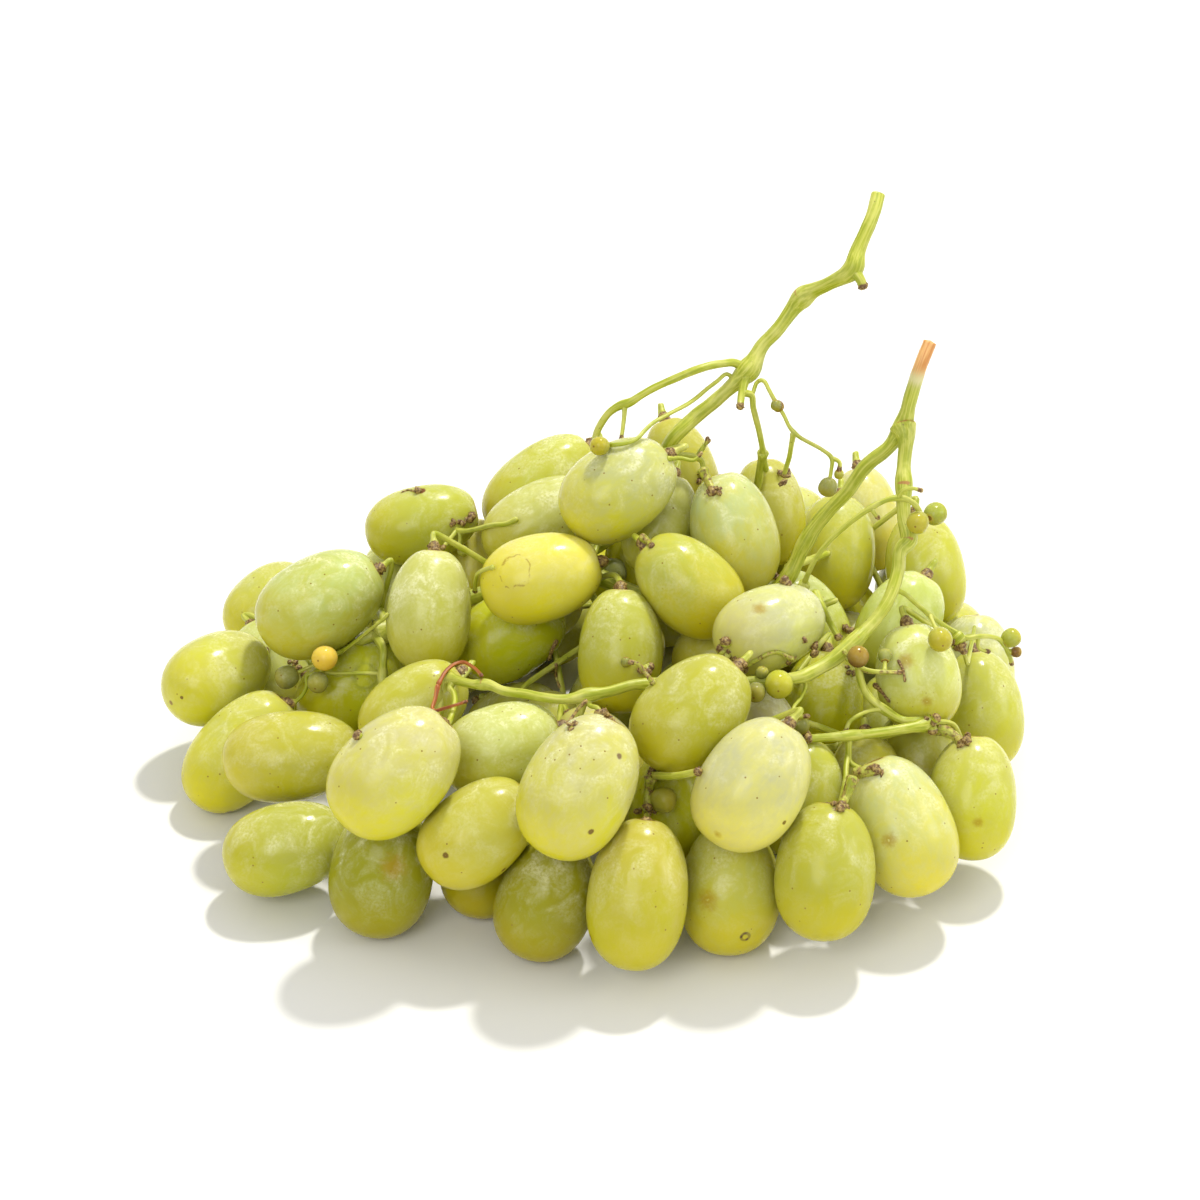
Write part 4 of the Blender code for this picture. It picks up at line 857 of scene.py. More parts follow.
def bent_clear(
    stem: Stem, spheres: Spheres, first: Points | None = None, last: Points | None = None
) -> None:
    """Bends a stem clear of the spheres.

    Args:
        stem: the stem, which changes.
        spheres: the spheres.
        first: the place that it is made to start from, if any.
        last: the place that it is made to end at, if any.
    """
    balls, sizes = spheres
    ends = [[] if place is None else [place] for place in (first, last)]
    points = resampled(np.vstack([*ends[0], *stem.points, *ends[1]]), FINE_SPACING)
    half = np.linspace(stem.width_start, stem.width_end, len(points)) / 2.0
    rows = np.arange(len(points))
    fixed = points[[0, -1]].copy()
    for _ in range(LAY_STEPS):
        away = points[:, None, :] - balls[None, :, :]
        distance = norm(away, axis=2)
        nearest = (distance - sizes[None, :]).argmin(axis=1)
        short = half + ROOT_GAP + sizes[nearest] - distance[rows, nearest]
        if short.max() < CLEAR_ENOUGH:
            break
        points = points + away[rows, nearest] * (np.clip(short, 0.0, None) / distance[rows, nearest])[:, None]
        points[1:-1] += SMOOTH_SHARE * (points[:-2] + points[2:] - 2 * points[1:-1])
        if first is not None:
            points[0] = fixed[0]
        if last is not None:
            points[-1] = fixed[1]
    stem.points = resampled(points, BENT_SPACING)


@dataclass
class Crowd:
    """The berries while they settle, as arrays with a row for each: centres, axes, spheres, ranks, sprays."""

    place: Points
    axes: Points
    offsets: Points
    radii: Points
    ranks: Points
    owner: Points
    sight: Points

    def balls(self, rows: Points) -> Points:
        """Gives the centres of these berries' spheres."""
        return self.place[rows][:, None, :] + self.offsets[rows][..., None] * self.axes[rows][:, None, :]

    def pushed_apart(self) -> Points:
        """Takes each pair of berries apart at their deepest contact, the nearer-ranked one to the front.

        Returns:
            The shift of each berry.
        """
        first, second = np.triu_indices(len(self.place), 1)
        near = norm(self.place[first] - self.place[second], axis=1) < CONTACT_REACH
        first, second = first[near], second[near]
        between = self.balls(first)[:, :, None, :] - self.balls(second)[:, None, :, :]
        distance = norm(between, axis=3) + TINY
        overlap = self.radii[first][:, :, None] + self.radii[second][:, None, :] + BERRY_GAP - distance
        overlap = overlap.reshape(len(first), -1)
        rows = np.arange(len(first))
        deepest = overlap.argmax(axis=1)
        way = (between / distance[..., None]).reshape(len(first), -1, 3)[rows, deepest]
        depth = np.clip(overlap[rows, deepest], 0.0, None)
        order = self.ranks[second] - self.ranks[first]
        ordered = np.abs(order) < HIDDEN_RANK / 2
        along = (way * self.sight[first]).sum(axis=1)
        wanted = np.where(order > 0, np.minimum(along, -ORDER_SLOPE), np.maximum(along, ORDER_SLOPE))
        wanted = np.where((order != 0) & ordered, wanted, along)
        way = unit_rows(way + (wanted - along)[:, None] * self.sight[first])
        give = np.where(self.ranks == 0, FRONT_GIVE, 1.0)
        share = give[first] / (give[first] + give[second])
        shift = np.zeros_like(self.place)
        np.add.at(shift, first, way * (depth * share)[:, None])
        np.add.at(shift, second, -way * (depth * (1.0 - share))[:, None])
        return shift

    def pushed_off(self, centres: Points, sizes: Points, owners: Points) -> Points:
        """Takes berries off the main stem and off the hidden stems of other sprays.

        Args:
            centres: the centres of the stems' spheres.
            sizes: their radii.
            owners: the spray that each is in.

        Returns:
            The shift of each berry.
        """
        away = self.place[:, None, :] - centres[None, :, :]
        row, bead = np.nonzero(norm(away, axis=2) < STEM_REACH)
        kept = self.owner[row] != owners[bead]
        row, bead = row[kept], bead[kept]
        away = self.balls(row) - centres[bead][:, None, :]
        distance = norm(away, axis=2) + TINY
        overlap = self.radii[row] + sizes[bead][:, None] + STEM_GAP - distance
        rows = np.arange(len(row))
        deepest = overlap.argmax(axis=1)
        depth = np.clip(overlap[rows, deepest], 0.0, None)
        way = away[rows, deepest] / distance[rows, deepest][:, None]
        shift = np.zeros_like(self.place)
        weight = np.zeros(len(self.place))
        np.add.at(shift, row, way * depth[:, None] ** 2)
        np.add.at(weight, row, depth)
        return shift / np.maximum(weight, TINY)[:, None]


@dataclass
class Heap:
    """The whole bunch as it lies: its sprays, main stem and tendril, laid out as the solids are."""

    sprays: list[Spray] = field(default_factory=lambda: list(sprays_of_the_bunch()))
    main_stem: Spray = field(default_factory=main_stem_of_the_bunch)
    tendril: Spray = field(default_factory=tendril_of_the_bunch)
    shift: Points = field(default_factory=lambda: np.zeros(3))

    def lay_out(self) -> None:
        """Settles the berries, lays the stems on them, and finds the middle of the bunch's box."""
        self.settle()
        self.finish_stems()
        nodes = self.sprays + [self.main_stem]
        berries = [berry for spray in self.sprays for berry in spray.berries]
        spheres = together(berry_balls(berries), *(all_chains(node.stems) for node in nodes))
        for stem in self.tendril.stems:
            points = resampled(stem.points, BEAD_SPACING)
            stem.points = laid_on(points, np.full(len(points), stem.width_start / 2.0), spheres)
        self.shift = self.middle()

    def stem_beads(self) -> tuple:
        """Gives the spheres of the main stem and of every spray's hidden stems, with the spray of each."""
        centres, sizes = all_chains(self.main_stem.stems)
        beads = [(centres, sizes, np.full(len(sizes), -1))]
        for index, spray in enumerate(self.sprays):
            centres, sizes = all_chains(hidden_stems(spray))
            beads.append((centres, sizes, np.full(len(sizes), index)))
        return together(*beads)

    def settle(self) -> None:
        """Moves the berries apart and onto the surface, mostly along the line of sight."""
        berries = [berry for spray in self.sprays for berry in spray.berries]
        owner = np.array([index for index, spray in enumerate(self.sprays) for _ in spray.berries])
        offsets, radii = (np.array(column) for column in zip(*(berry_chain(berry) for berry in berries)))
        axes = np.array([berry.axis for berry in berries])
        ranks = np.array([berry.rank for berry in berries])
        start = np.array([berry.centre for berry in berries])
        sight = unit_rows(start - VIEW_EYE)
        crowd = Crowd(start, axes, offsets, radii, ranks, owner, sight)
        hidden = (ranks == HIDDEN_RANK)[:, None]
        floor = np.array([lowest_reach(berry) for berry in berries]) - FLAT_DEPTH
        for turn in range(SETTLE_ROUNDS):
            beads = self.stem_beads()
            last = turn == SETTLE_ROUNDS - 1
            for _ in range(SETTLE_STEPS):
                shift = SETTLE_SHARE * crowd.pushed_apart() + OFF_STEM_SHARE * crowd.pushed_off(*beads)
                along = (shift * sight).sum(axis=1, keepdims=True) * sight
                place = crowd.place + along + (shift - along) * np.where(hidden | last, 1.0, SIDEWAYS_SHARE)
                if not last:
                    offset = start - place
                    depth = (offset * sight).sum(axis=1, keepdims=True) * sight
                    place += (offset - depth) * np.where(hidden, HOLD_HIDDEN, HOLD_TO_VIEW)
                    place += depth * np.where(hidden, HOLD_HIDDEN, HOLD_DEPTH)
                place[:, 2] += np.clip(floor - place[:, 2], 0.0, None)
                crowd.place = place
            for berry, centre in zip(berries, crowd.place):
                berry.centre = centre.copy()

    def lay_seen_stems(self, spray: Spray, others: list[Berry], strangers: list[Spheres]) -> None:
        """Lays a spray's seen stems on the berries and on other stems, and ends each in the berry it joins.

        Args:
            spray: the spray, whose stems change.
            others: all berries of the bunch.
            strangers: the spheres of the stems that they are laid on.
        """
        for stem in spray.stems:
            own = spray.berries[stem.joins] if stem.joins >= 0 else None
            met = together(berry_balls([berry for berry in others if berry is not own]), *strangers)
            points = resampled(stem.points, LAID_SPACING)
            half = np.linspace(stem.width_start, stem.width_end, len(points)) / 2.0
            start = 2 if stem.off_main else 0
            points[start:] = laid_on(points[start:], half[start:], met)
            stem.points = points if own is None else np.vstack([points, stem_end(own, -STEM_SINK)])

    def join_stems(self, spray: Spray, hidden: list[Stem], main_balls: Spheres, blocked: Spheres) -> None:
        """Starts every stem of a spray on another of its stems, or just off the main stem.

        Args:
            spray: the spray, which gets all its stems and its joints.
            hidden: its side stem and the pedicels worked out by rule.
            main_balls: the main stem's spheres.
            blocked: the spheres that the stems are bent clear of.
        """
        side = hidden[0]
        off_main = [stem for stem in spray.stems if stem.off_main]
        for stem in off_main:
            cut_back(stem, main_balls)
            bent_clear(stem, blocked)
        root = None
        if off_main and room_left(side.points[:1], main_balls)[0] > STEM_GAP:
            root = nearest_of(np.vstack([chain_of(stem)[0] for stem in off_main]), side.points[0])
        else:
            cut_back(side, main_balls)
        bent_clear(side, blocked, first=root)
        joints = chain_of(side)[0]
        for pedicel in hidden[1:]:
            bent_clear(pedicel, blocked, last=nearest_of(joints, pedicel.points[-1]))
        joints = np.vstack([joints] + [chain_of(stem)[0] for stem in off_main])
        for stem in spray.stems:
            if not stem.off_main:
                if stem.joins < 0:
                    cut_back(stem, main_balls, cut_end=True)
                bent_clear(stem, blocked, first=nearest_of(joints, stem.points[0]))
                joints = np.vstack([joints, chain_of(stem)[0]])
        spray.stems = hidden + spray.stems
        spray.joints = joints

    def finish_stems(self) -> None:
        """Lays the seen stems on the settled berries and joins every stem and shot berry to its spray."""
        main_balls = all_chains(self.main_stem.stems)
        hidden = [hidden_stems(spray) for spray in self.sprays]
        berries = [berry for spray in self.sprays for berry in spray.berries]
        for index, spray in enumerate(self.sprays):
            strangers = [main_balls]
            strangers += [all_chains(stems) for other, stems in enumerate(hidden) if other != index]
            strangers += [all_chains(other.stems) for other in self.sprays[:index]]
            self.lay_seen_stems(spray, berries, strangers)
        for index, spray in enumerate(self.sprays):
            blocked = [main_balls]
            for other, stems in enumerate(hidden):
                if other != index:
                    blocked += [berry_balls(self.sprays[other].berries), all_chains(self.sprays[other].stems)]
                    blocked += [all_chains(stems)] if other > index else []
            self.join_stems(spray, hidden[index], main_balls, together(*blocked))
        self.main_stem.joints = main_balls[0]
        nodes = self.sprays + [self.main_stem]
        for spray in nodes:
            others = [other for other in nodes if other is not spray]
            met = together(berry_balls(berries), *(all_chains(other.stems) for other in others))
            for small in spray.shots:
                small.centre = laid_on(small.centre[None, :], np.array([small.width / 2.0]), met)[0]
                pedicel = Stem(small.centre[None, :], SHOT_STEM_WIDTH, SHOT_STEM_WIDTH)
                bent_clear(pedicel, met, first=nearest_of(spray.joints, small.centre))
                pedicel.points = np.vstack([pedicel.points, small.centre])
                spray.stems.append(pedicel)

    def middle(self) -> Points:
        """Gives the middle of the whole bunch's box, on the surface, in mm."""
        lows, highs = [], []
        for node in self.sprays + [self.main_stem, self.tendril]:
            for berry in node.berries:
                along, across = berry_profile(berry.length, berry.width, PROFILE_STEPS)
                slope = np.sqrt(np.clip(1.0 - berry.axis**2, 0.0, None))
                reach = across[:, None] * slope[None, :] + along[:, None] * berry.axis[None, :]
                drop = across[:, None] * slope[None, :] - along[:, None] * berry.axis[None, :]
                lows.append(berry.centre - drop.max(axis=0))
                highs.append(berry.centre + reach.max(axis=0))
            centres, radii = all_chains(node.stems)
            lows.append((centres - radii[:, None]).min(axis=0))
            highs.append((centres + radii[:, None]).max(axis=0))
        middle = (np.min(lows, axis=0) + np.max(highs, axis=0)) / 2.0
        return np.array([middle[0], middle[1], 0.0])


def linear(colour: str, strength: float = 1.0) -> tuple[float, float, float, float]:
    """Turns an sRGB hex colour to linear values.

    Args:
        colour: the colour, such as "#c3c85a".
        strength: the alpha value to give it.

    Returns:
        Red, green, blue and alpha.
    """
    parts = [int(colour[place : place + 2], 16) / 255.0 for place in (1, 3, 5)]
    red, green, blue = (
        part / 12.92 if part <= 0.04045 else ((part + 0.055) / 1.055) ** 2.4 for part in parts
    )
    return red, green, blue, strength


def eased(value: Points, low: float, high: float) -> Points:
    """Gives a smooth step from 0 at low to 1 at high; low may be the larger of the two."""
    share = np.clip((value - low) / (high - low), 0.0, 1.0)
    return share * share * (3.0 - 2.0 * share)


def placed(name: str, data: bpy.types.ID) -> bpy.types.Object:
    """Makes an object of this data in the scene."""
    made = bpy.data.objects.new(name, data)
    bpy.context.scene.collection.objects.link(made)
    return made


def tube_faces(rings: int, sides: int) -> tuple[Points, Points]:
    """Joins rings of points by quads, and closes each end with triangles to one more point.

    Args:
        rings: number of rings.
        sides: points in a ring.

    Returns:
        The quads and the triangles, of indices into the rings' points, then the first pole, then the last.
    """
    ring = np.arange(rings - 1)[:, None] * sides
    side = np.arange(sides)[None, :]
    after = (side + 1) % sides
    corners = [ring + side, ring + after, ring + sides + after, ring + sides + side]
    quads = np.stack(corners, axis=-1).reshape(-1, 4)
    first, last = np.full_like(side, rings * sides), np.full_like(side, rings * sides + 1)
    base = (rings - 1) * sides
    caps = [np.stack([first, after, side], axis=-1), np.stack([last, base + side, base + after], axis=-1)]
    return quads, np.concatenate(caps).reshape(-1, 3)


# What a mesh calls a value with this many numbers a point.
VALUE_KINDS = {1: ("FLOAT", "value"), 3: ("FLOAT_VECTOR", "vector"), 4: ("FLOAT_COLOR", "color")}


@dataclass
class Shell:
    """Closed surfaces of one piece, gathered with what its material reads at each point.

    It also holds the middle of the bunch's box, which is taken off every place, and the seeded source of the
    surfaces' small differences.
    """

    shift: Points
    rng: Random
    points: list[Points] = field(default_factory=list)
    quads: list[Points] = field(default_factory=list)
    triangles: list[Points] = field(default_factory=list)
    values: dict[str, list[Points]] = field(default_factory=dict)
    count: int = 0

    def add(self, points: Points, rings: int, sides: int, values: dict[str, Points]) -> None:
        """Adds one tube-like surface.

        Args:
            points: its points in mm, ring by ring, then its two poles.
            rings: number of rings.
            sides: points in a ring.
            values: what the material reads, by name, one row a point.
        """
        quads, triangles = tube_faces(rings, sides)
        self.points.append(points)
        self.quads.append(quads + self.count)
        self.triangles.append(triangles + self.count)
        for name, rows in values.items():
            self.values.setdefault(name, []).append(rows)
        self.count += len(points)

    def made(self, name: str, material: bpy.types.Material) -> bpy.types.Object:
        """Makes the piece, at the origin, with its place in its mesh."""
        mesh = bpy.data.meshes.new(name)
        points = np.concatenate(self.points) * MM
        quads, triangles = np.concatenate(self.quads), np.concatenate(self.triangles)
        corners = np.concatenate([quads.ravel(), triangles.ravel()]).astype(np.int32)
        sizes = np.concatenate([np.full(len(quads), 4), np.full(len(triangles), 3)])
        starts = np.concatenate([[0], np.cumsum(sizes)[:-1]]).astype(np.int32)
        mesh.vertices.add(len(points))
        mesh.vertices.foreach_set("co", points.astype(np.float32).ravel())
        mesh.loops.add(len(corners))
        mesh.loops.foreach_set("vertex_index", corners)
        mesh.polygons.add(len(starts))
        mesh.polygons.foreach_set("loop_start", starts)
        mesh.update(calc_edges=True)
        for label, parts in self.values.items():
            rows = np.concatenate(parts).astype(np.float32)
            kind, key = VALUE_KINDS[rows.size // len(rows)]
            mesh.attributes.new(label, kind, "POINT").data.foreach_set(key, rows.ravel())
        mesh.shade_smooth()
        mesh.materials.append(material)
        return placed(name, mesh)


def frame_across(direction: Points) -> tuple[Points, Points]:
    """Gives two unit directions across this one, so that the first, the second and it are right-handed."""
    helper = np.array([0.0, 0.0, 1.0]) if abs(direction[2]) < NEARLY_UPRIGHT else np.array([1.0, 0.0, 0.0])
    first = np.cross(helper, direction)
    first /= norm(first)
    return first, np.cross(direction, first)


# How many marks a berry may have, and how far from a mark that isn't there every point is.
MARKS_EACH = 2
FAR_OFF = 9.0

# How far each surface's own seed moves its patterns.
PATTERN_REACH = 40.0


@dataclass(frozen=True)
class BerrySkin:
    """The skin of a berry: a smooth oval with a dimpled stem end, slightly uneven round its axis."""

    rings: int = 42
    sides: int = 56
    unevenness: float = 0.009
    lobes: float = 0.7
    lobe_twist: float = 1.6
    lean: float = 0.6
    lean_turn: float = 3.0
    dimple: float = 0.55
    dimple_width: float = 2.1
    bow: float = 0.35
    flow_stretch: float = 0.22
    end_scale: float = 1.0
    light_spread: float = 0.05
    green_spread: float = 0.035
    green_lift: float = 0.4

    def outline(self, length: float, width: float) -> tuple[Points, Points]:
        """Gives the distances along and from the axis for each ring, from the stem end to the blossom end."""
        along, across = berry_profile(length, width, self.rings + 1)
        dent = self.dimple * np.exp(-((across / self.dimple_width) ** 2)) * (along > 0)
        return along - dent, across

    def add_to(self, shell: Shell, berry: Berry) -> None:
        """Adds a berry's surface: its outline turned about its axis, with a few low waves round and along it.

        Args:
            shell: the piece that it goes in.
            berry: the berry.
        """
        rng = shell.rng
        along, across = self.outline(berry.length, berry.width)
        turn = np.arange(self.sides) / self.sides * math.tau
        first, second = frame_across(-berry.axis)
        phase = rng.uniform(0.0, math.tau, 4)
        share = along[1:-1, None] / (berry.length / 2.0)
        waves = np.cos(2 * turn[None, :] + phase[0])
        waves = waves + self.lobes * np.cos(3 * turn[None, :] + phase[1] + self.lobe_twist * share)
        leaning = self.lean * np.cos(turn[None, :] + phase[2]) * np.cos(self.lean_turn * share + phase[3])
        radius = across[1:-1, None] * (1.0 + self.unevenness * (waves + leaning))
        round_about = np.cos(turn)[:, None] * first + np.sin(turn)[:, None] * second
        centre = berry.centre - shell.shift
        bowed = self.bow * (1.0 - share**2)[..., None] * first * math.cos(phase[0])
        grid = centre + along[1:-1, None, None] * berry.axis + bowed
        grid = grid + radius[..., None] * round_about[None, :, :]
        poles = centre + along[[0, -1], None] * berry.axis
        points = np.concatenate([grid.reshape(-1, 3), poles])
        points[:, 2] = np.maximum(points[:, 2], 0.0)
        count = len(points)
        reach = np.concatenate([np.repeat(along[1:-1], self.sides), along[[0, -1]]]) / (berry.length / 2.0)
        out = np.concatenate([radius.ravel(), [0.0, 0.0]])
        angle = np.concatenate([np.tile(turn, self.rings), [0.0, 0.0]])
        seed = rng.uniform(0.0, 1.0)
        lengthwise = reach * berry.length * self.flow_stretch
        flow = np.column_stack([np.cos(angle) * out, np.sin(angle) * out, lengthwise])
        bloom_and_sheen, clear = (self.varied(colour, rng) for colour in berry.tint.value)
        values = {
            "skin_haze": np.tile(bloom_and_sheen, (count, 1)),
            "skin_clear": np.tile(clear, (count, 1)),
            "berry_place": np.column_stack([reach, out * self.end_scale, np.full(count, seed)]),
            "skin_flow": flow + PATTERN_REACH * seed,
            "bloom_share": np.full(count, berry.bloom),
            # Height within the berry, which the skin reads for painted sheen towards the top and painted glow
            # lower down.
            "painted_light_height": (points[:, 2] - centre[2]) / max(np.ptp(points[:, 2]) / 2.0, TINY),
        }
        for index in range(MARKS_EACH):
            mark = berry.marks[index] if index < len(berry.marks) else None
            values |= self.mark_values(f"mark_{index}", mark, points, centre, shell.shift)
        shell.add(points, self.rings, self.sides, values)

    def varied(self, colour: str, rng: Random) -> Points:
        """Gives a colour in linear values, a little lighter, darker, greener or yellower than it is named."""
        base = np.array(linear(colour))
        light, green = rng.normal(0.0, self.light_spread), rng.normal(0.0, self.green_spread)
        base[:3] *= (1.0 + light) * np.array([1.0 - green, 1.0 + self.green_lift * green, 1.0])
        return np.clip(base, 0.0, 1.0)

    def mark_values(
        self, label: str, mark: Mark | None, points: Points, centre: Points, shift: Points
    ) -> dict[str, Points]:
        """Works out what the material reads for one mark.

        Args:
            label: the start of the values' names.
            mark: the mark, or nothing.
            points: the berry's points.
            centre: its middle.
            shift: the middle of the bunch's box.

        Returns:
            Each point's offset from the mark's middle in half widths, and the mark's look.
        """
        colour, strength, clear, fade, ragged = (mark.kind if mark else Blemish.NONE).value
        offset = np.full((len(points), 3), FAR_OFF)
        if mark:
            line = sight_line(mark.u, mark.v)
            away = points - (VIEW_EYE - shift)
            off = norm(away - (away @ line)[:, None] * line, axis=1)
            hidden = ((points - centre) @ line > 0.0) * FAR_OFF
            offset = (points - points[np.argmin(off + hidden)]) / (mark.width / 2.0)
        count = len(points)
        return {
            label: offset,
            label + "_look": np.tile(linear(colour, strength), (count, 1)),
            label + "_edge": np.tile((clear, 1.0 - fade, ragged), (count, 1)),
        }


# Shot berries: round, almost smooth, and with hardly a dimple.
SHOT_SKIN = BerrySkin(rings=18, sides=24, dimple=0.1, dimple_width=0.5, bow=0.0, end_scale=2.6)
SHOT_ROUNDNESS = 0.96
SHOT_BLOOM = 0.25


# Dry brown knobs of lost pedicels, lying where the view shows them: pixel, and width in mm.
LUMPS = (
    (957, 643, 2.4), (963, 649, 1.8), (933, 726, 2.6), (930, 720, 1.6), (845, 630, 2.2), (738, 660, 2.2),
    (744, 668, 1.6), (651, 773, 1.8), (814, 645, 2.4), (806, 640, 1.8), (783, 583, 2.4), (777, 578, 1.6),
    (670, 455, 2.0), (300, 670, 2.0), (294, 664, 1.5), (480, 698, 2.2), (572, 726, 2.0), (602, 714, 2.4),
    (608, 717, 1.5), (468, 517, 2.4), (461, 522, 1.8), (451, 523, 1.6), (420, 491, 2.0), (645, 668, 2.2),
    (727, 652, 3.0), (733, 657, 2.0), (849, 672, 1.6), (700, 473, 2.0), (742, 664, 1.5), (790, 661, 1.8),
    (646, 812, 2.0), (641, 811, 1.4), (655, 811, 1.4), (841, 808, 2.2), (834, 805, 1.5), (848, 810, 1.5),
    (880, 771, 2.6), (874, 775, 1.8), (964, 746, 2.4), (968, 739, 1.6), (713, 492, 2.2), (707, 491, 1.5),
    (719, 491, 1.4), (356, 738, 2.0), (786, 476, 2.4), (779, 474, 1.6), (696, 480, 1.8),
)

# Thin twigs and hairs, lying where the view shows them: width in mm, dryness, and pixels.
TWIGS = (
    (0.8, 0.5, ((843, 650), (856, 664), (868, 672), (884, 672), (901, 673))),
    (0.6, 0.7, ((898, 660), (903, 670), (905, 682))),
    (0.9, 0.8, ((874, 684), (882, 692), (890, 702))),
    (1.6, 0.1, ((815, 592), (822, 606), (830, 622), (840, 640))),
    (0.7, 0.6, ((587, 700), (579, 708), (573, 716), (566, 724))),
    (1.0, 0.5, ((654, 684), (647, 675), (638, 664), (628, 662))),
    (0.5, 0.9, ((421, 489), (415, 491), (408, 490), (401, 493))),
    (0.9, 0.3, ((695, 460), (702, 450), (706, 443), (708, 437))),
    (1.0, 0.2, ((667, 459), (680, 458), (694, 460), (702, 452))),
    (1.1, 0.4, ((793, 660), (778, 652), (766, 655), (754, 662), (745, 668))),
    (0.8, 0.7, ((557, 640), (552, 650), (549, 660))),
    (0.7, 0.6, ((556, 664), (556, 676), (560, 688))),
    (2.0, 0.42, ((651, 776), (649, 790), (648, 802), (647, 811))),
    (2.0, 0.42, ((853, 776), (849, 788), (845, 798), (841, 807))),
    (2.1, 0.45, ((856, 773), (866, 773), (874, 772), (881, 770))),
    (2.2, 0.45, ((936, 728), (948, 732), (957, 738), (963, 746))),
    (1.9, 0.42, ((702, 468), (706, 477), (710, 485), (713, 492))),
    (1.5, 0.5, ((640, 536), (647, 541), (653, 547))),
)

# Loose shot berries: pixel, width in mm, and colour.
LOOSE_SHOTS = (
    (613, 572, 6.2, Tint.SHOT_OLIVE),
    (548, 662, 4.8, Tint.SHOT_DEAD),
    (626, 662, 2.2, Tint.SHOT_OLIVE),
    (776, 405, 2.4, Tint.SHOT_OLIVE),
)

# Swellings on the main stem: pixel, height in mm, gain in width, and scar.
MAIN_STEM_KNOTS = (
    (853, 268, 103.0, 0.45, 0.0), (803, 295, 94.0, 0.55, 0.8), (748, 370, 79.5, 0.65, 0.15),
    (903, 428, 77.0, 0.45, 0.75), (904, 484, 69.5, 0.30, 0.9), (909, 539, 61.0, 0.35, 0.8),
    (797, 538, 51.5, 0.35, 0.6), (857, 639, 47.5, 0.30, 0.5), (831, 661, 45.0, 0.25, 0.3),
    (651, 684, 44.0, 0.25, 0.5), (589, 695, 43.5, 0.35, 0.2), (482, 685, 42.0, 0.40, 0.7),
)


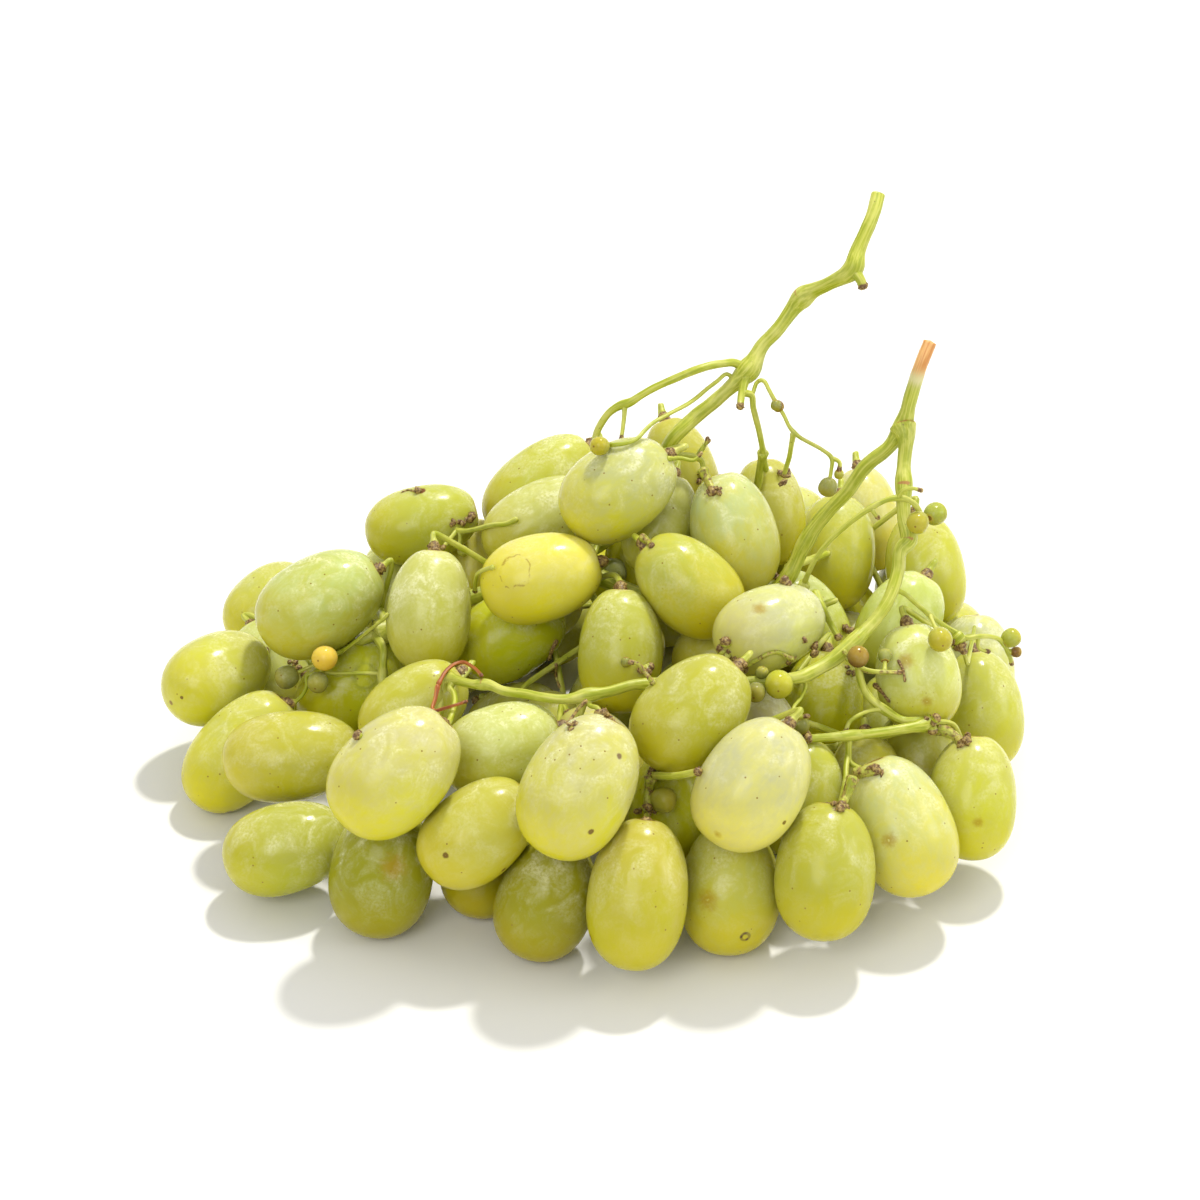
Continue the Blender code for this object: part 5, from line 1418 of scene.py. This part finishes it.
@dataclass(frozen=True)
class StemBark:
    """The bark of a stem: a tube that swells at its joints, with low ridges and a corky end at a berry."""

    spacing: float = 0.45
    thick_sides: int = 20
    thin_sides: int = 12
    thick: float = 2.0
    ridges: float = 0.02
    fine_ridges: float = 0.6
    twist: float = 0.05
    warts: float = 0.16
    wave: float = 0.03
    ripple: float = 0.015
    collar: float = 0.55
    knot_reach: float = 1.5
    scar_width: float = 0.6
    cup_width: float = 2.7
    cup_rim: float = 0.10
    tip_swell: float = 0.3
    end_rounding: float = 0.6
    end_bulge: float = 0.25
    amber_fade: float = 0.35
    flow_stretch: float = 0.045

    def add_to(self, shell: Shell, stem: Stem, knots: list[tuple], dryness: float = 0.0) -> None:
        """Adds a stem's surface: a ridged circle carried along its route, with poles at both ends.

        Args:
            shell: the piece that it goes in.
            stem: the stem.
            knots: the places where it swells, each with its gain in width and its scar.
            dryness: the least share of cork on it.
        """
        rng = shell.rng
        path = resampled(stem.points, self.spacing)
        along = reach_along(path)
        length = along[-1]
        radius = np.interp(along / length, [0.0, 1.0], [stem.width_start, stem.width_end]) / 2.0
        sides = self.thick_sides if max(stem.width_start, stem.width_end) > self.thick else self.thin_sides
        turn = np.arange(sides) / sides * math.tau
        phase = rng.uniform(0.0, math.tau, 4)
        cork, scar = np.full_like(along, dryness), np.zeros_like(along)
        swell = self.wave * np.sin(along * 0.35 + phase[0]) + self.ripple * np.sin(along * 1.3 + phase[1])
        for place, gain, red in knots:
            off = norm(path - place, axis=1)
            swell += gain * np.exp(-((off / (self.knot_reach * (0.4 + radius))) ** 2))
            if off.min() < 2.0 * self.knot_reach:
                away = (along - along[off.argmin()]) / self.scar_width
                scar = np.maximum(scar, red * np.exp(-(away**2)))
        for from_end, in_berry, end in (
            (along, stem.starts_in_berry, stem.start),
            (length - along, stem.ends_in_berry, stem.end),
        ):
            if in_berry:
                cup = eased(from_end, STEM_SINK + 2.6, STEM_SINK + 0.3)
                radius = radius + cup * (self.cup_width / 2.0 - radius)
                swell += self.cup_rim * cup * np.sin(along * 5.0 + phase[2])
                cork = np.maximum(cork, eased(from_end, STEM_SINK + 2.2, STEM_SINK + 0.7))
            elif end is StemEnd.BARE:
                swell += self.tip_swell * eased(from_end, 1.5, 0.2)
                cork = np.maximum(cork, eased(from_end, 2.0, 0.5))
            elif end is StemEnd.SUNK:
                swell += self.collar * np.exp(-from_end / (0.5 + radius))
        radius = radius * (1.0 + swell)
        for row, end in ((0, stem.start), (-1, stem.end)):
            if end is not StemEnd.CUT:
                radius[row] *= self.end_rounding
        tangent = unit_rows(np.gradient(path, axis=0))
        _, _, axes = np.linalg.svd(path - path.mean(axis=0), full_matrices=True)
        first = unit_rows(np.cross(np.tile(axes[-1], (len(path), 1)), tangent))
        second = np.cross(tangent, first)
        twist = along[:, None] * self.twist
        ridge = 1.0 + self.ridges * np.cos(3 * turn[None, :] + twist + phase[2])
        ridge = ridge + self.fine_ridges * self.ridges * np.cos(7 * turn[None, :] - 2 * twist + phase[3])
        warts = self.warts * cork[:, None] * np.cos(5 * turn[None, :] + 6.0 * along[:, None] + phase[0])
        reach = (radius[:, None] * (ridge + warts))[..., None]
        round_about = np.cos(turn)[None, :, None] * first[:, None, :]
        round_about = round_about + np.sin(turn)[None, :, None] * second[:, None, :]
        grid = path[:, None, :] + reach * round_about
        first_pole = path[0] - self.end_bulge * radius[0] * tangent[0]
        poles = np.array([first_pole, path[-1] + self.end_bulge * radius[-1] * tangent[-1]])
        points = np.concatenate([grid.reshape(-1, 3), poles]) - shell.shift
        points[:, 2] = np.maximum(points[:, 2], 0.0)
        amber = np.zeros_like(along)
        if stem.amber_tip:
            amber = eased(along, stem.amber_tip, stem.amber_tip * self.amber_fade)

        def at_points(rows: Points) -> Points:
            """Spreads one value a ring over the ring's points and the poles."""
            return np.concatenate([np.repeat(rows, sides), rows[[0, -1]]])

        facing = np.clip(round_about @ (UP - 0.8 * FORWARD), 0.0, 1.0)
        seed = rng.uniform(0.0, 1.0)
        angle = np.concatenate([np.tile(turn, len(path)), [0.0, 0.0]])
        across = at_points(radius)
        flow = [np.cos(angle) * across, np.sin(angle) * across, at_points(along) * self.flow_stretch]
        values = {
            "stem_flow": np.column_stack(flow) + PATTERN_REACH * seed,
            "stem_cork": at_points(cork),
            "stem_scar": np.concatenate([(scar[:, None] * facing).ravel(), [0.0, 0.0]]),
            "stem_amber": at_points(amber),
        }
        shell.add(points, len(path), sides, values)


def feed(tree: bpy.types.NodeTree, node: bpy.types.Node, inputs: dict) -> None:
    """Feeds a node's inputs, each by its name or number: a signal is linked, and a plain value is set."""
    for place, value in inputs.items():
        if isinstance(value, Signal):
            tree.links.new(value.socket, node.inputs[place])
        else:
            node.inputs[place].default_value = value


def add_node(
    tree: bpy.types.NodeTree, kind: str, inputs: dict | None = None, **settings: object
) -> bpy.types.Node:
    """Adds a node with its settings and inputs.

    Args:
        tree: the node tree.
        kind: the node's type, without its ShaderNode start.
        inputs: socket name or number to the signal or the plain value that goes in.
        **settings: the node's own properties.

    Returns:
        The node.
    """
    node = tree.nodes.new("ShaderNode" + kind)
    for name, value in settings.items():
        setattr(node, name, value)
    feed(tree, node, inputs or {})
    return node


@dataclass(frozen=True)
class Signal:
    """One output in a material's node tree. Patterns are worked out with it as with a number."""

    tree: bpy.types.NodeTree
    socket: bpy.types.NodeSocket

    def joined(self, operation: str, other: Signal | float) -> Signal:
        """Joins it and another signal, or a plain number, by a math operation."""
        node = add_node(self.tree, "Math", {0: self, 1: other}, operation=operation)
        return Signal(self.tree, node.outputs[0])

    def __add__(self, other: Signal | float) -> Signal:
        """Adds a signal or a number."""
        return self.joined("ADD", other)

    def __sub__(self, other: Signal | float) -> Signal:
        """Takes a signal or a number off."""
        return self.joined("SUBTRACT", other)

    def __mul__(self, other: Signal | float) -> Signal:
        """Multiplies by a signal or a number."""
        return self.joined("MULTIPLY", other)

    def step(self, low: float, high: float) -> Signal:
        """Gives its smooth step from 0 at low to 1 at high; low may be the larger of the two."""
        flip = float(low > high)
        inputs = {"Value": self, "From Min": min(low, high), "From Max": max(low, high)}
        inputs |= {"To Min": flip, "To Max": 1.0 - flip}
        node = add_node(self.tree, "MapRange", inputs, interpolation_type="SMOOTHSTEP")
        return Signal(self.tree, node.outputs["Result"])

    def parts(self) -> tuple[Signal, ...]:
        """Gives the three components of a vector."""
        node = add_node(self.tree, "SeparateXYZ", {0: self})
        return tuple(Signal(self.tree, output) for output in node.outputs)


@dataclass
class Paint:
    """A material in the making: its tree, and short calls for what its patterns are made of."""

    name: str
    tree: bpy.types.NodeTree = field(init=False)
    material: bpy.types.Material = field(init=False)
    coordinates: Signal = field(init=False)

    def __post_init__(self) -> None:
        """Makes the material, with its shader and Object coordinates."""
        self.material = bpy.data.materials.new(self.name)
        self.material.use_nodes = True
        self.tree = self.material.node_tree
        self.coordinates = self.output("TexCoord", "Object")

    def output(self, kind: str, output: str | int, inputs: dict | None = None, **settings: object) -> Signal:
        """Adds a node and gives one of its outputs, by its name or number."""
        return Signal(self.tree, add_node(self.tree, kind, inputs, **settings).outputs[output])

    def read(self, label: str, output: str = "Fac") -> Signal:
        """Reads one of the piece's own values at each point."""
        return self.output("Attribute", output, attribute_name=label)

    def noise(
        self, size: float, detail: float = 3.0, vector: Signal | None = None, warp: float = 0.0
    ) -> Signal:
        """Makes a noise.

        Args:
            size: its feature size, in the vector's units: metres on Object coordinates.
            detail: its octaves.
            vector: where it is read, or nothing for Object coordinates.
            warp: its distortion.

        Returns:
            The noise, about 0.5.
        """
        inputs = {"Scale": 1.0 / size, "Detail": detail, "Distortion": warp, "Roughness": 0.6}
        return self.output("TexNoise", "Fac", inputs | {"Vector": vector or self.coordinates})

    def dots(self, spacing: float, edge: tuple[float, float], rarity: tuple[float, float]) -> Signal:
        """Makes small dots: one in some of a pattern's cells.

        Args:
            spacing: the cells' size, in metres.
            edge: where a dot ends and where it is full, as shares of the spacing.
            rarity: the share of cells that have a dot at all, and of those with a full one.

        Returns:
            The dots, 0 to 1.
        """
        inputs = {"Scale": 1.0 / spacing, "Vector": self.coordinates}
        cells = add_node(self.tree, "TexVoronoi", inputs)
        chance = self.output("SeparateColor", 0, {0: Signal(self.tree, cells.outputs["Color"])})
        return Signal(self.tree, cells.outputs["Distance"]).step(*edge) * chance.step(*rarity)

    def blend(self, share: Signal, under: Signal | str, over: Signal | str) -> Signal:
        """Mixes two colours, each a signal or sRGB hex; the share is how much of the upper one shows."""
        colours = [linear(colour) if isinstance(colour, str) else colour for colour in (under, over)]
        return self.output("Mix", 2, {0: share, 6: colours[0], 7: colours[1]}, data_type="RGBA")

    def raised(self, height: Signal, strength: float, distance: float) -> Signal:
        """Gives the surface's direction where a height, in metres at full strength, raises it."""
        return self.output("Bump", "Normal", {"Strength": strength, "Distance": distance, "Height": height})

    def shaded(self, inputs: dict) -> bpy.types.Material:
        """Feeds the material's shader and gives the material."""
        feed(self.tree, self.tree.nodes["Principled BSDF"], inputs)
        return self.material


@dataclass(frozen=True)
class GrapeSkin:
    """Skin of a ripe white grape: thin, waxed and translucent, so light glows in the flesh under it.

    Its powdery wax gives a pale, broken haze, and rubbed places show the clear, yellower skin. Painted light
    is added as well: the skin is paler and hazier towards the top as painted sheen, and clearer and yellower
    lower down and at the blossom end as painted glow.
    """

    haze_colour: str = "#edeccb"
    # Yellow of the painted glow towards the blossom end.
    blossom_glow_colour: str = "#c9b316"
    cork_colour: str = "#7d5328"
    ring_colour: str = "#c7b04a"
    speck_colour: str = "#8a6f2c"
    mottle: float = 0.009
    mottle_share: float = 0.40
    vein: float = 1.3
    vein_share: float = 0.16
    # Share of painted light in the skin's tone: hazier towards the top as painted sheen, clearer and yellower
    # lower down as painted glow.
    painted_light_share: float = 0.52
    # Share of the painted glow at the blossom end.
    blossom_glow_share: float = 0.28
    haze_patch: float = 0.0062
    haze_grain: float = 0.0006
    speck_spacing: float = 0.0024
    speck_share: float = 0.9
    glow: float = 0.55
    glow_depth: float = 0.0042
    glow_colour: tuple[float, float, float] = (1.0, 1.0, 0.25)
    roughness: float = 0.18
    sheen_level: float = 0.4
    haze_roughness: float = 0.55
    ior: float = 1.34
    fine_bumps: float = 0.0009
    fine_share: float = 0.55
    broad_bumps: float = 0.0045
    bump_strength: float = 0.25
    bump_height: float = 0.0002

    def material(self) -> bpy.types.Material:
        """Makes the material, which reads the berries' own values and Object coordinates."""
        paint = Paint("grape_skin")
        along, out, _ = paint.read("berry_place", "Vector").parts()
        # Painted light: height within the berry mixes the skin towards the hazed colour at the top as painted
        # sheen, and towards the clear colour lower down as painted glow; mottle and veins add the bloom's
        # real unevenness.
        height = paint.read("painted_light_height").step(-0.75, 0.95)
        mottle = paint.noise(self.mottle, warp=0.4).step(0.30, 0.72)
        veins = paint.noise(self.vein, 2.0, paint.read("skin_flow", "Vector"), 0.5).step(0.34, 0.70)
        tone = mottle * self.mottle_share + veins * self.vein_share + height * self.painted_light_share
        base = paint.blend(tone, paint.read("skin_clear", "Color"), paint.read("skin_haze", "Color"))
        # Painted glow: the skin turns yellower towards the blossom end, where light through the flesh
        # gathers.
        base = paint.blend(along.step(0.1, -0.95) * self.blossom_glow_share, base, self.blossom_glow_colour)
        patch = paint.noise(self.haze_patch, 4.0, warp=1.1).step(0.38, 0.74)
        bloom_and_sheen = patch * paint.noise(self.haze_grain, 2.0).step(0.1, 0.8) * paint.read("bloom_share")
        # The bloom's haze is stronger towards the stem end, and stronger towards the top as painted sheen.
        bloom_and_sheen = bloom_and_sheen * (along.step(-0.9, 0.6) * 0.5 + 0.5) * (height * 1.1 + 0.12)
        base = paint.blend(bloom_and_sheen, base, self.haze_colour)
        specks = paint.dots(self.speck_spacing, (0.11, 0.05), (0.55, 0.45))
        base = paint.blend(specks * self.speck_share, base, self.speck_colour)
        for index in range(MARKS_EACH):
            base = self.marked(paint, base, f"mark_{index}")
        bumps = paint.noise(self.fine_bumps) * self.fine_share + paint.noise(self.broad_bumps, 2.0)
        return paint.shaded({
            "Base Color": self.with_ends(paint, base, along, out),
            "Roughness": bloom_and_sheen * (self.haze_roughness - self.roughness) + self.roughness,
            "IOR": self.ior,
            "Specular IOR Level": self.sheen_level,
            "Subsurface Weight": self.glow,
            "Subsurface Radius": self.glow_colour,
            "Subsurface Scale": self.glow_depth,
            "Normal": paint.raised(bumps, self.bump_strength, self.bump_height),
        })

    def marked(self, paint: Paint, base: Signal, label: str) -> Signal:
        """Draws one mark: a ragged disc about its middle, or a broken ring where it has a clear share."""
        far = paint.output("VectorMath", "Value", {0: paint.read(label, "Vector")}, operation="LENGTH")
        clear, full, rough = paint.read(label + "_edge", "Vector").parts()
        reach = far + (paint.noise(0.0011) - 0.5) * rough + (paint.noise(0.0042, 1.0) - 0.5) * clear
        inputs = {"Value": reach, "From Min": 1.0, "From Max": full}
        disc = paint.output("MapRange", "Result", inputs, interpolation_type="SMOOTHSTEP")
        share = disc * (reach - clear).step(-0.10, 0.06)
        share = share - share * (paint.noise(0.0028, 2.0).step(0.52, 0.44) * clear)
        look = label + "_look"
        return paint.blend(share * paint.read(look, "Alpha"), base, paint.read(look, "Color"))

    def with_ends(self, paint: Paint, base: Signal, along: Signal, out: Signal) -> Signal:
        """Draws the corky ring at the stem end, with a yellow rim, and the dot at the blossom end."""
        reach = out + (paint.noise(0.0010) - 0.5) * 2.2
        at_stem, at_tip = along.step(0.70, 0.85), along.step(-0.80, -0.92)
        for share, strength, colour in (
            (reach.step(3.4, 2.0) * at_stem, 0.6, self.ring_colour),
            (reach.step(2.1, 1.6) * at_stem, 0.85, self.cork_colour),
            (out.step(0.75, 0.4) * at_tip, 0.8, self.cork_colour),
        ):
            base = paint.blend(share * strength, base, colour)
        return base


@dataclass(frozen=True)
class GreenBark:
    """Bark of a fresh grape stalk: smooth and green, with yellow strands, and brown and corky at scars."""

    name: str = "green_stem"
    green: str = "#98a21a"
    strand: str = "#c0c344"
    pale: str = "#d2cf72"
    pale_share: float = 0.55
    cork: str = "#684a24"
    cork_light: str = "#b09656"
    scar: str = "#a8693c"
    amber: str = "#e8b876"
    amber_edge: str = "#cc8a44"
    blanched: str = "#d3cc94"
    speck: str = "#6c5a22"
    speck_spacing: float = 0.0014
    strand_width: float = 0.55
    patch: float = 0.006
    roughness: float = 0.42
    glow: float = 0.15
    glow_depth: float = 0.0012
    glow_colour: tuple[float, float, float] = (1.0, 0.9, 0.3)

    def material(self) -> bpy.types.Material:
        """Makes the material, which reads the stems' own values and Object coordinates."""
        paint = Paint(self.name)
        flow = paint.read("stem_flow", "Vector")
        strands = paint.noise(self.strand_width, vector=flow, warp=0.2).step(0.36, 0.66)
        patches = paint.noise(self.patch).step(0.42, 0.70)
        specks = paint.dots(self.speck_spacing, (0.16, 0.07), (0.25, 0.15))
        tip = paint.read("stem_amber") + strands * 0.15
        ragged = paint.noise(0.0011, 4.0) - 0.5
        cork = paint.read("stem_cork")
        crust = paint.blend(paint.noise(0.0006).step(0.42, 0.62), self.cork, self.cork_light)
        base = paint.blend(strands, self.green, self.strand)
        for share, colour in (
            (patches * self.pale_share, self.pale),
            (specks * 0.7, self.speck),
            (tip.step(0.05, 0.45), self.blanched),
            (tip.step(0.45, 1.0), paint.blend(strands, self.amber_edge, self.amber)),
            ((paint.read("stem_scar") + ragged).step(0.50, 0.72) * 0.8, self.scar),
            ((cork + ragged).step(0.32, 0.60), crust),
        ):
            base = paint.blend(share, base, colour)
        return paint.shaded({
            "Base Color": base,
            "Roughness": self.roughness,
            "Subsurface Weight": self.glow,
            "Subsurface Radius": self.glow_colour,
            "Subsurface Scale": self.glow_depth,
            "Normal": paint.raised(paint.noise(0.0005) * (cork + 0.15) + strands * 0.14, 0.6, 0.0003),
        })


# Bark of a dried tendril: red-brown all through, with paler strands.
DRY_BARK = GreenBark(
    "dry_tendril", green="#84400e", strand="#c26e26", pale="#ac5c1a", cork="#6a3a1c", cork_light="#a0683c"
)


@dataclass(frozen=True)
class PaleFloor:
    """A matt pale studio floor, which isn't part of the bunch."""

    colour: str = "#e9e8e4"
    roughness: float = 0.85
    side: float = 8.0

    def make(self) -> None:
        """Makes the floor, a square under the bunch."""
        half = self.side / 2.0
        mesh = bpy.data.meshes.new("pale_floor")
        corners = [(-half, -half, 0), (half, -half, 0), (half, half, 0), (-half, half, 0)]
        mesh.from_pydata(corners, [], [(0, 1, 2, 3)])
        floor = placed("pale_floor", mesh)
        looks = {"Base Color": linear(self.colour), "Roughness": self.roughness}
        mesh.materials.append(Paint("pale_floor").shaded(looks))


@dataclass(frozen=True)
class Lamp:
    """One round studio light: where it stands from the bunch, in metres, its width, power and colour."""

    name: str
    place: tuple[float, float, float]
    width: float
    power: float
    colour: tuple[float, float, float] = (1.0, 1.0, 1.0)

    def make(self) -> None:
        """Makes the light, aimed at the bunch's middle."""
        data = bpy.data.lights.new(self.name, "AREA")
        data.shape = "DISK"
        data.size = self.width
        data.energy = self.power
        data.color = self.colour
        lamp = placed(self.name, data)
        lamp.location = self.place
        aim = Vector((0.0, 0.0, LAMP_AIM)) - Vector(self.place)
        lamp.rotation_euler = aim.to_track_quat("-Z", "Y").to_euler()


@dataclass(frozen=True)
class Studio:
    """The plain studio: its floor, its lights, its pale surroundings and the camera at the photo's angle."""

    floor: PaleFloor = PaleFloor()
    lamps: tuple[Lamp, ...] = (
        Lamp("key_light", (0.26, 0.50, 1.20), 0.11, 13.5, (1.0, 0.985, 0.95)),
        Lamp("front_light", (-0.5, -1.3, 1.1), 0.9, 9.0),
        Lamp("side_light", (1.3, -0.3, 0.7), 0.7, 5.0),
    )
    surroundings: float = 0.68
    bounces: int = 5
    clip_start: float = 0.01
    clip_end: float = 50.0

    def build(self, shift: Points) -> None:
        """Makes the studio.

        Args:
            shift: the middle of the bunch's box, taken off the camera's place too.
        """
        self.floor.make()
        for lamp in self.lamps:
            lamp.make()
        world = bpy.data.worlds.new("pale_room")
        world.use_nodes = True
        background = world.node_tree.nodes["Background"]
        background.inputs["Color"].default_value = (1.0, 1.0, 1.0, 1.0)
        background.inputs["Strength"].default_value = self.surroundings
        scene = bpy.context.scene
        scene.world = world
        scene.view_settings.view_transform = "Standard"
        scene.cycles.max_bounces = self.bounces
        data = bpy.data.cameras.new("view_of_the_photo")
        data.sensor_width = SENSOR_WIDTH
        data.lens = VIEW_FOCAL_PX / VIEW_WIDTH_PX * SENSOR_WIDTH
        data.clip_start, data.clip_end = self.clip_start, self.clip_end
        camera = placed("view_of_the_photo", data)
        tip = Matrix.Rotation(math.pi / 2.0 - VIEW_ELEVATION, 4, "X")
        camera.matrix_world = Matrix.Translation(Vector((VIEW_EYE - shift) * MM)) @ tip
        scene.camera = camera


def without_fold(stem: Stem) -> Points:
    """Gives a stem's route without the stretch before a sharp fold, if it has one near its start."""
    path = resampled(stem.points, FOLD_SPACING)
    if stem.starts_in_berry or len(path) < 4 * FOLD_REACH:
        return stem.points
    ways = unit_rows(path[FOLD_REACH:] - path[:-FOLD_REACH])
    turns = (ways[:-FOLD_REACH] * ways[FOLD_REACH:]).sum(axis=1)
    sharpest = int(turns.argmin())
    if turns[sharpest] > FOLD_COSINE or sharpest > FOLD_LATEST * len(path):
        return stem.points
    return path[sharpest + FOLD_REACH :]


@dataclass
class Bunch:
    """The whole bunch of grapes, dressed: fine berries and stems for each spray, main stem and tendril."""

    heap: Heap
    skin: BerrySkin = BerrySkin()
    bark: StemBark = StemBark()
    seed: int = 19

    def build(self) -> None:
        """Makes every piece, with its finish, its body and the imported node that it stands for."""
        grape, green, dry = GrapeSkin().material(), GreenBark().material(), DRY_BARK.material()
        for index, spray in enumerate(self.heap.sprays):
            rng = np.random.default_rng(self.seed + index)
            self.berries_piece(spray, grape, rng)
            self.stems_piece(spray, green, "green_stem", rng)
        rng = np.random.default_rng(self.seed - 1)
        self.stems_piece(self.heap.main_stem, green, "green_stem", rng)
        self.berries_piece(self.heap.main_stem, grape, rng)
        self.stems_piece(self.heap.tendril, dry, "dried_stem", rng)
        self.add_growths(grape, green, rng)

    def add_growths(self, grape: bpy.types.Material, green: bpy.types.Material, rng: Random) -> None:
        """Adds the dry knobs, thin twigs and loose shot berries, each lying on what the view shows behind it.

        Args:
            grape: the skin.
            green: the bark.
            rng: the seeded source of small differences.
        """
        nodes = self.heap.sprays + [self.heap.main_stem]
        balls = [berry_balls(spray.berries) for spray in self.heap.sprays]
        under = together(*balls, *(all_chains(node.stems) for node in nodes))
        shell = Shell(self.heap.shift, rng)
        for u, v, width in LUMPS:
            for _ in range(LUMP_PARTS):
                spot = first_met(((u, v),), LUMP_LIFT * width, under)[0]
                start = spot + rng.normal(0.0, LUMP_SPREAD, 3) * width
                end = start + rng.normal(0.0, LUMP_LENGTH, 3) * width
                knob = Stem(np.array([start, end]), 0.6 * width, 0.5 * width, end=StemEnd.BARE)
                self.bark.add_to(shell, knob, [])
        for width, dryness, places in TWIGS:
            spots = first_met(places, TWIG_LIFT * width, under)
            route = smooth_route(spots, ROUTE_SPACING)
            stem = Stem(route, width, TWIG_TAPER * width, end=StemEnd.BARE)
            self.bark.add_to(shell, stem, [], dryness)
        piece = shell.made("dry_knobs_and_twigs", green)
        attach(piece, BODY)
        shell = Shell(self.heap.shift, rng)
        for u, v, width, tint in LOOSE_SHOTS:
            centre = first_met(((u, v),), SHOT_LIFT * width, under)[0]
            self.add_shot(shell, Shot(centre, width, tint), UP)
        piece = shell.made("loose_shot_berries", grape)
        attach(piece, BODY)

    def add_shot(self, shell: Shell, small: Shot, axis: Points) -> None:
        """Adds one shot berry's surface to a piece."""
        width = small.width * SHOT_ROUNDNESS
        SHOT_SKIN.add_to(shell, Berry(small.centre, axis, small.width, width, 0, small.tint, SHOT_BLOOM))

    def join_to_main(self, stem: Stem, start_gap: float) -> None:
        """Carries a stem that starts or ends beside the main stem on to the main stem's middle line.

        Args:
            stem: the stem.
            start_gap: how far from the main stem's middle line it may start, in mm.
        """
        middle = self.heap.main_stem.joints
        for end, in_berry, most in ((0, stem.starts_in_berry, start_gap), (-1, stem.ends_in_berry, JOIN_GAP)):
            if in_berry:
                continue
            path = stem.points[::-1] if end else stem.points
            near = path[reach_along(path) < JOIN_STRETCH]
            gaps = norm(near[:, None, :] - middle[None, :, :], axis=2)
            if gaps.min() > most:
                continue
            place, joint = np.unravel_index(gaps.argmin(), gaps.shape)
            path = np.vstack([middle[joint], path[place:]])
            stem.points = path[::-1] if end else path
            if end:
                stem.end = StemEnd.SUNK

    def finished(self, piece: bpy.types.Object, node: str) -> None:
        """Gives a piece its body, hides the imported node that it stands for, and reports it."""
        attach(piece, BODY)
        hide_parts(node)
        log.info("%s: %d faces", piece.name, len(piece.data.polygons))

    def berries_piece(self, spray: Spray, material: bpy.types.Material, rng: Random) -> None:
        """Makes the berries and shot berries of one spray as one piece.

        Args:
            spray: the spray.
            material: the skin.
            rng: the seeded source of small differences.
        """
        shell = Shell(self.heap.shift, rng)
        for berry in spray.berries:
            self.skin.add_to(shell, berry)
        for small in spray.shots:
            self.add_shot(shell, small, nearest_axis(spray, small))
        if shell.count:
            self.finished(shell.made(spray.name + "_berries", material), spray.name)

    def stems_piece(self, spray: Spray, material: bpy.types.Material, slot: str, rng: Random) -> None:
        """Makes the stems of one spray, or of the main stem or the tendril, as one piece.

        Args:
            spray: the spray.
            material: the bark.
            slot: the name of its finish; only green stems of a spray are joined to the main stem and freed of
                folds.
            rng: the seeded source of small differences.
        """
        shell = Shell(self.heap.shift, rng)
        knots = [(stem.points[0], *JOINT_SWELL) for stem in spray.stems if not stem.starts_in_berry]
        knots += [(stem.points[-1], *JOINT_SWELL) for stem in spray.stems if stem.starts_in_berry]
        if spray is self.heap.main_stem:
            knots = [(point_seen(*knot[:3]), *knot[3:]) for knot in MAIN_STEM_KNOTS]
            knots += [(other.stems[0].points[0], *ROOT_SWELL) for other in self.heap.sprays if other.stems]
        for stem in spray.stems:
            own = [knot for knot in knots if norm(stem.points[0] - knot[0]) > TINY]
            if slot == "green_stem" and spray is not self.heap.main_stem:
                self.join_to_main(stem, FIRST_JOIN_GAP if stem is spray.stems[0] else JOIN_GAP)
                stem.points = without_fold(stem)
            self.bark.add_to(shell, stem, own)
        self.finished(shell.made(spray.name + "_stems", material), spray.name)


def first_met(places: tuple, lift: float, spheres: Spheres) -> Points:
    """Gives where lines of sight meet the first of some spheres, pulled back towards the view.

    A line that meets none stops where it passes nearest to one. None goes far beyond the nearest place.

    Args:
        places: the pixels.
        lift: how far the places are pulled back, in mm.
        spheres: the spheres.

    Returns:
        The places, one a row.
    """
    balls, sizes = spheres
    depths = []
    lines = np.array([sight_line(u, v) for u, v in places])
    for line in lines:
        along = (balls - VIEW_EYE) @ line
        off = norm(balls - VIEW_EYE - along[:, None] * line, axis=1)
        met = off < sizes
        nearest = along[np.argmin(off - sizes)]
        depths.append((along[met] - np.sqrt(sizes[met] ** 2 - off[met] ** 2)).min() if met.any() else nearest)
    depths = np.minimum(depths, min(depths) + MOST_DEPTH)
    return VIEW_EYE + (depths - lift)[:, None] * lines


def nearest_axis(spray: Spray, small: Shot) -> Points:
    """Gives a shot berry's axis: from its middle back along its own stem."""
    for stem in spray.stems:
        if norm(stem.points[-1] - small.centre) < TINY and len(stem.points) > 1:
            back = stem.points[0] - small.centre
            return back / max(norm(back), TINY)
    return UP


def main() -> None:
    """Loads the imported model, lays out the heap, and builds the studio and the bunch."""
    logging.basicConfig(level=logging.INFO, format="%(message)s", stream=sys.stdout)
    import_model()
    heap = Heap()
    heap.lay_out()
    log.info("laid out %d berries", sum(len(spray.berries) for spray in heap.sprays))
    Studio().build(heap.shift)
    Bunch(heap).build()
    bpy.context.view_layer.update()


if __name__ == "__main__":
    main()
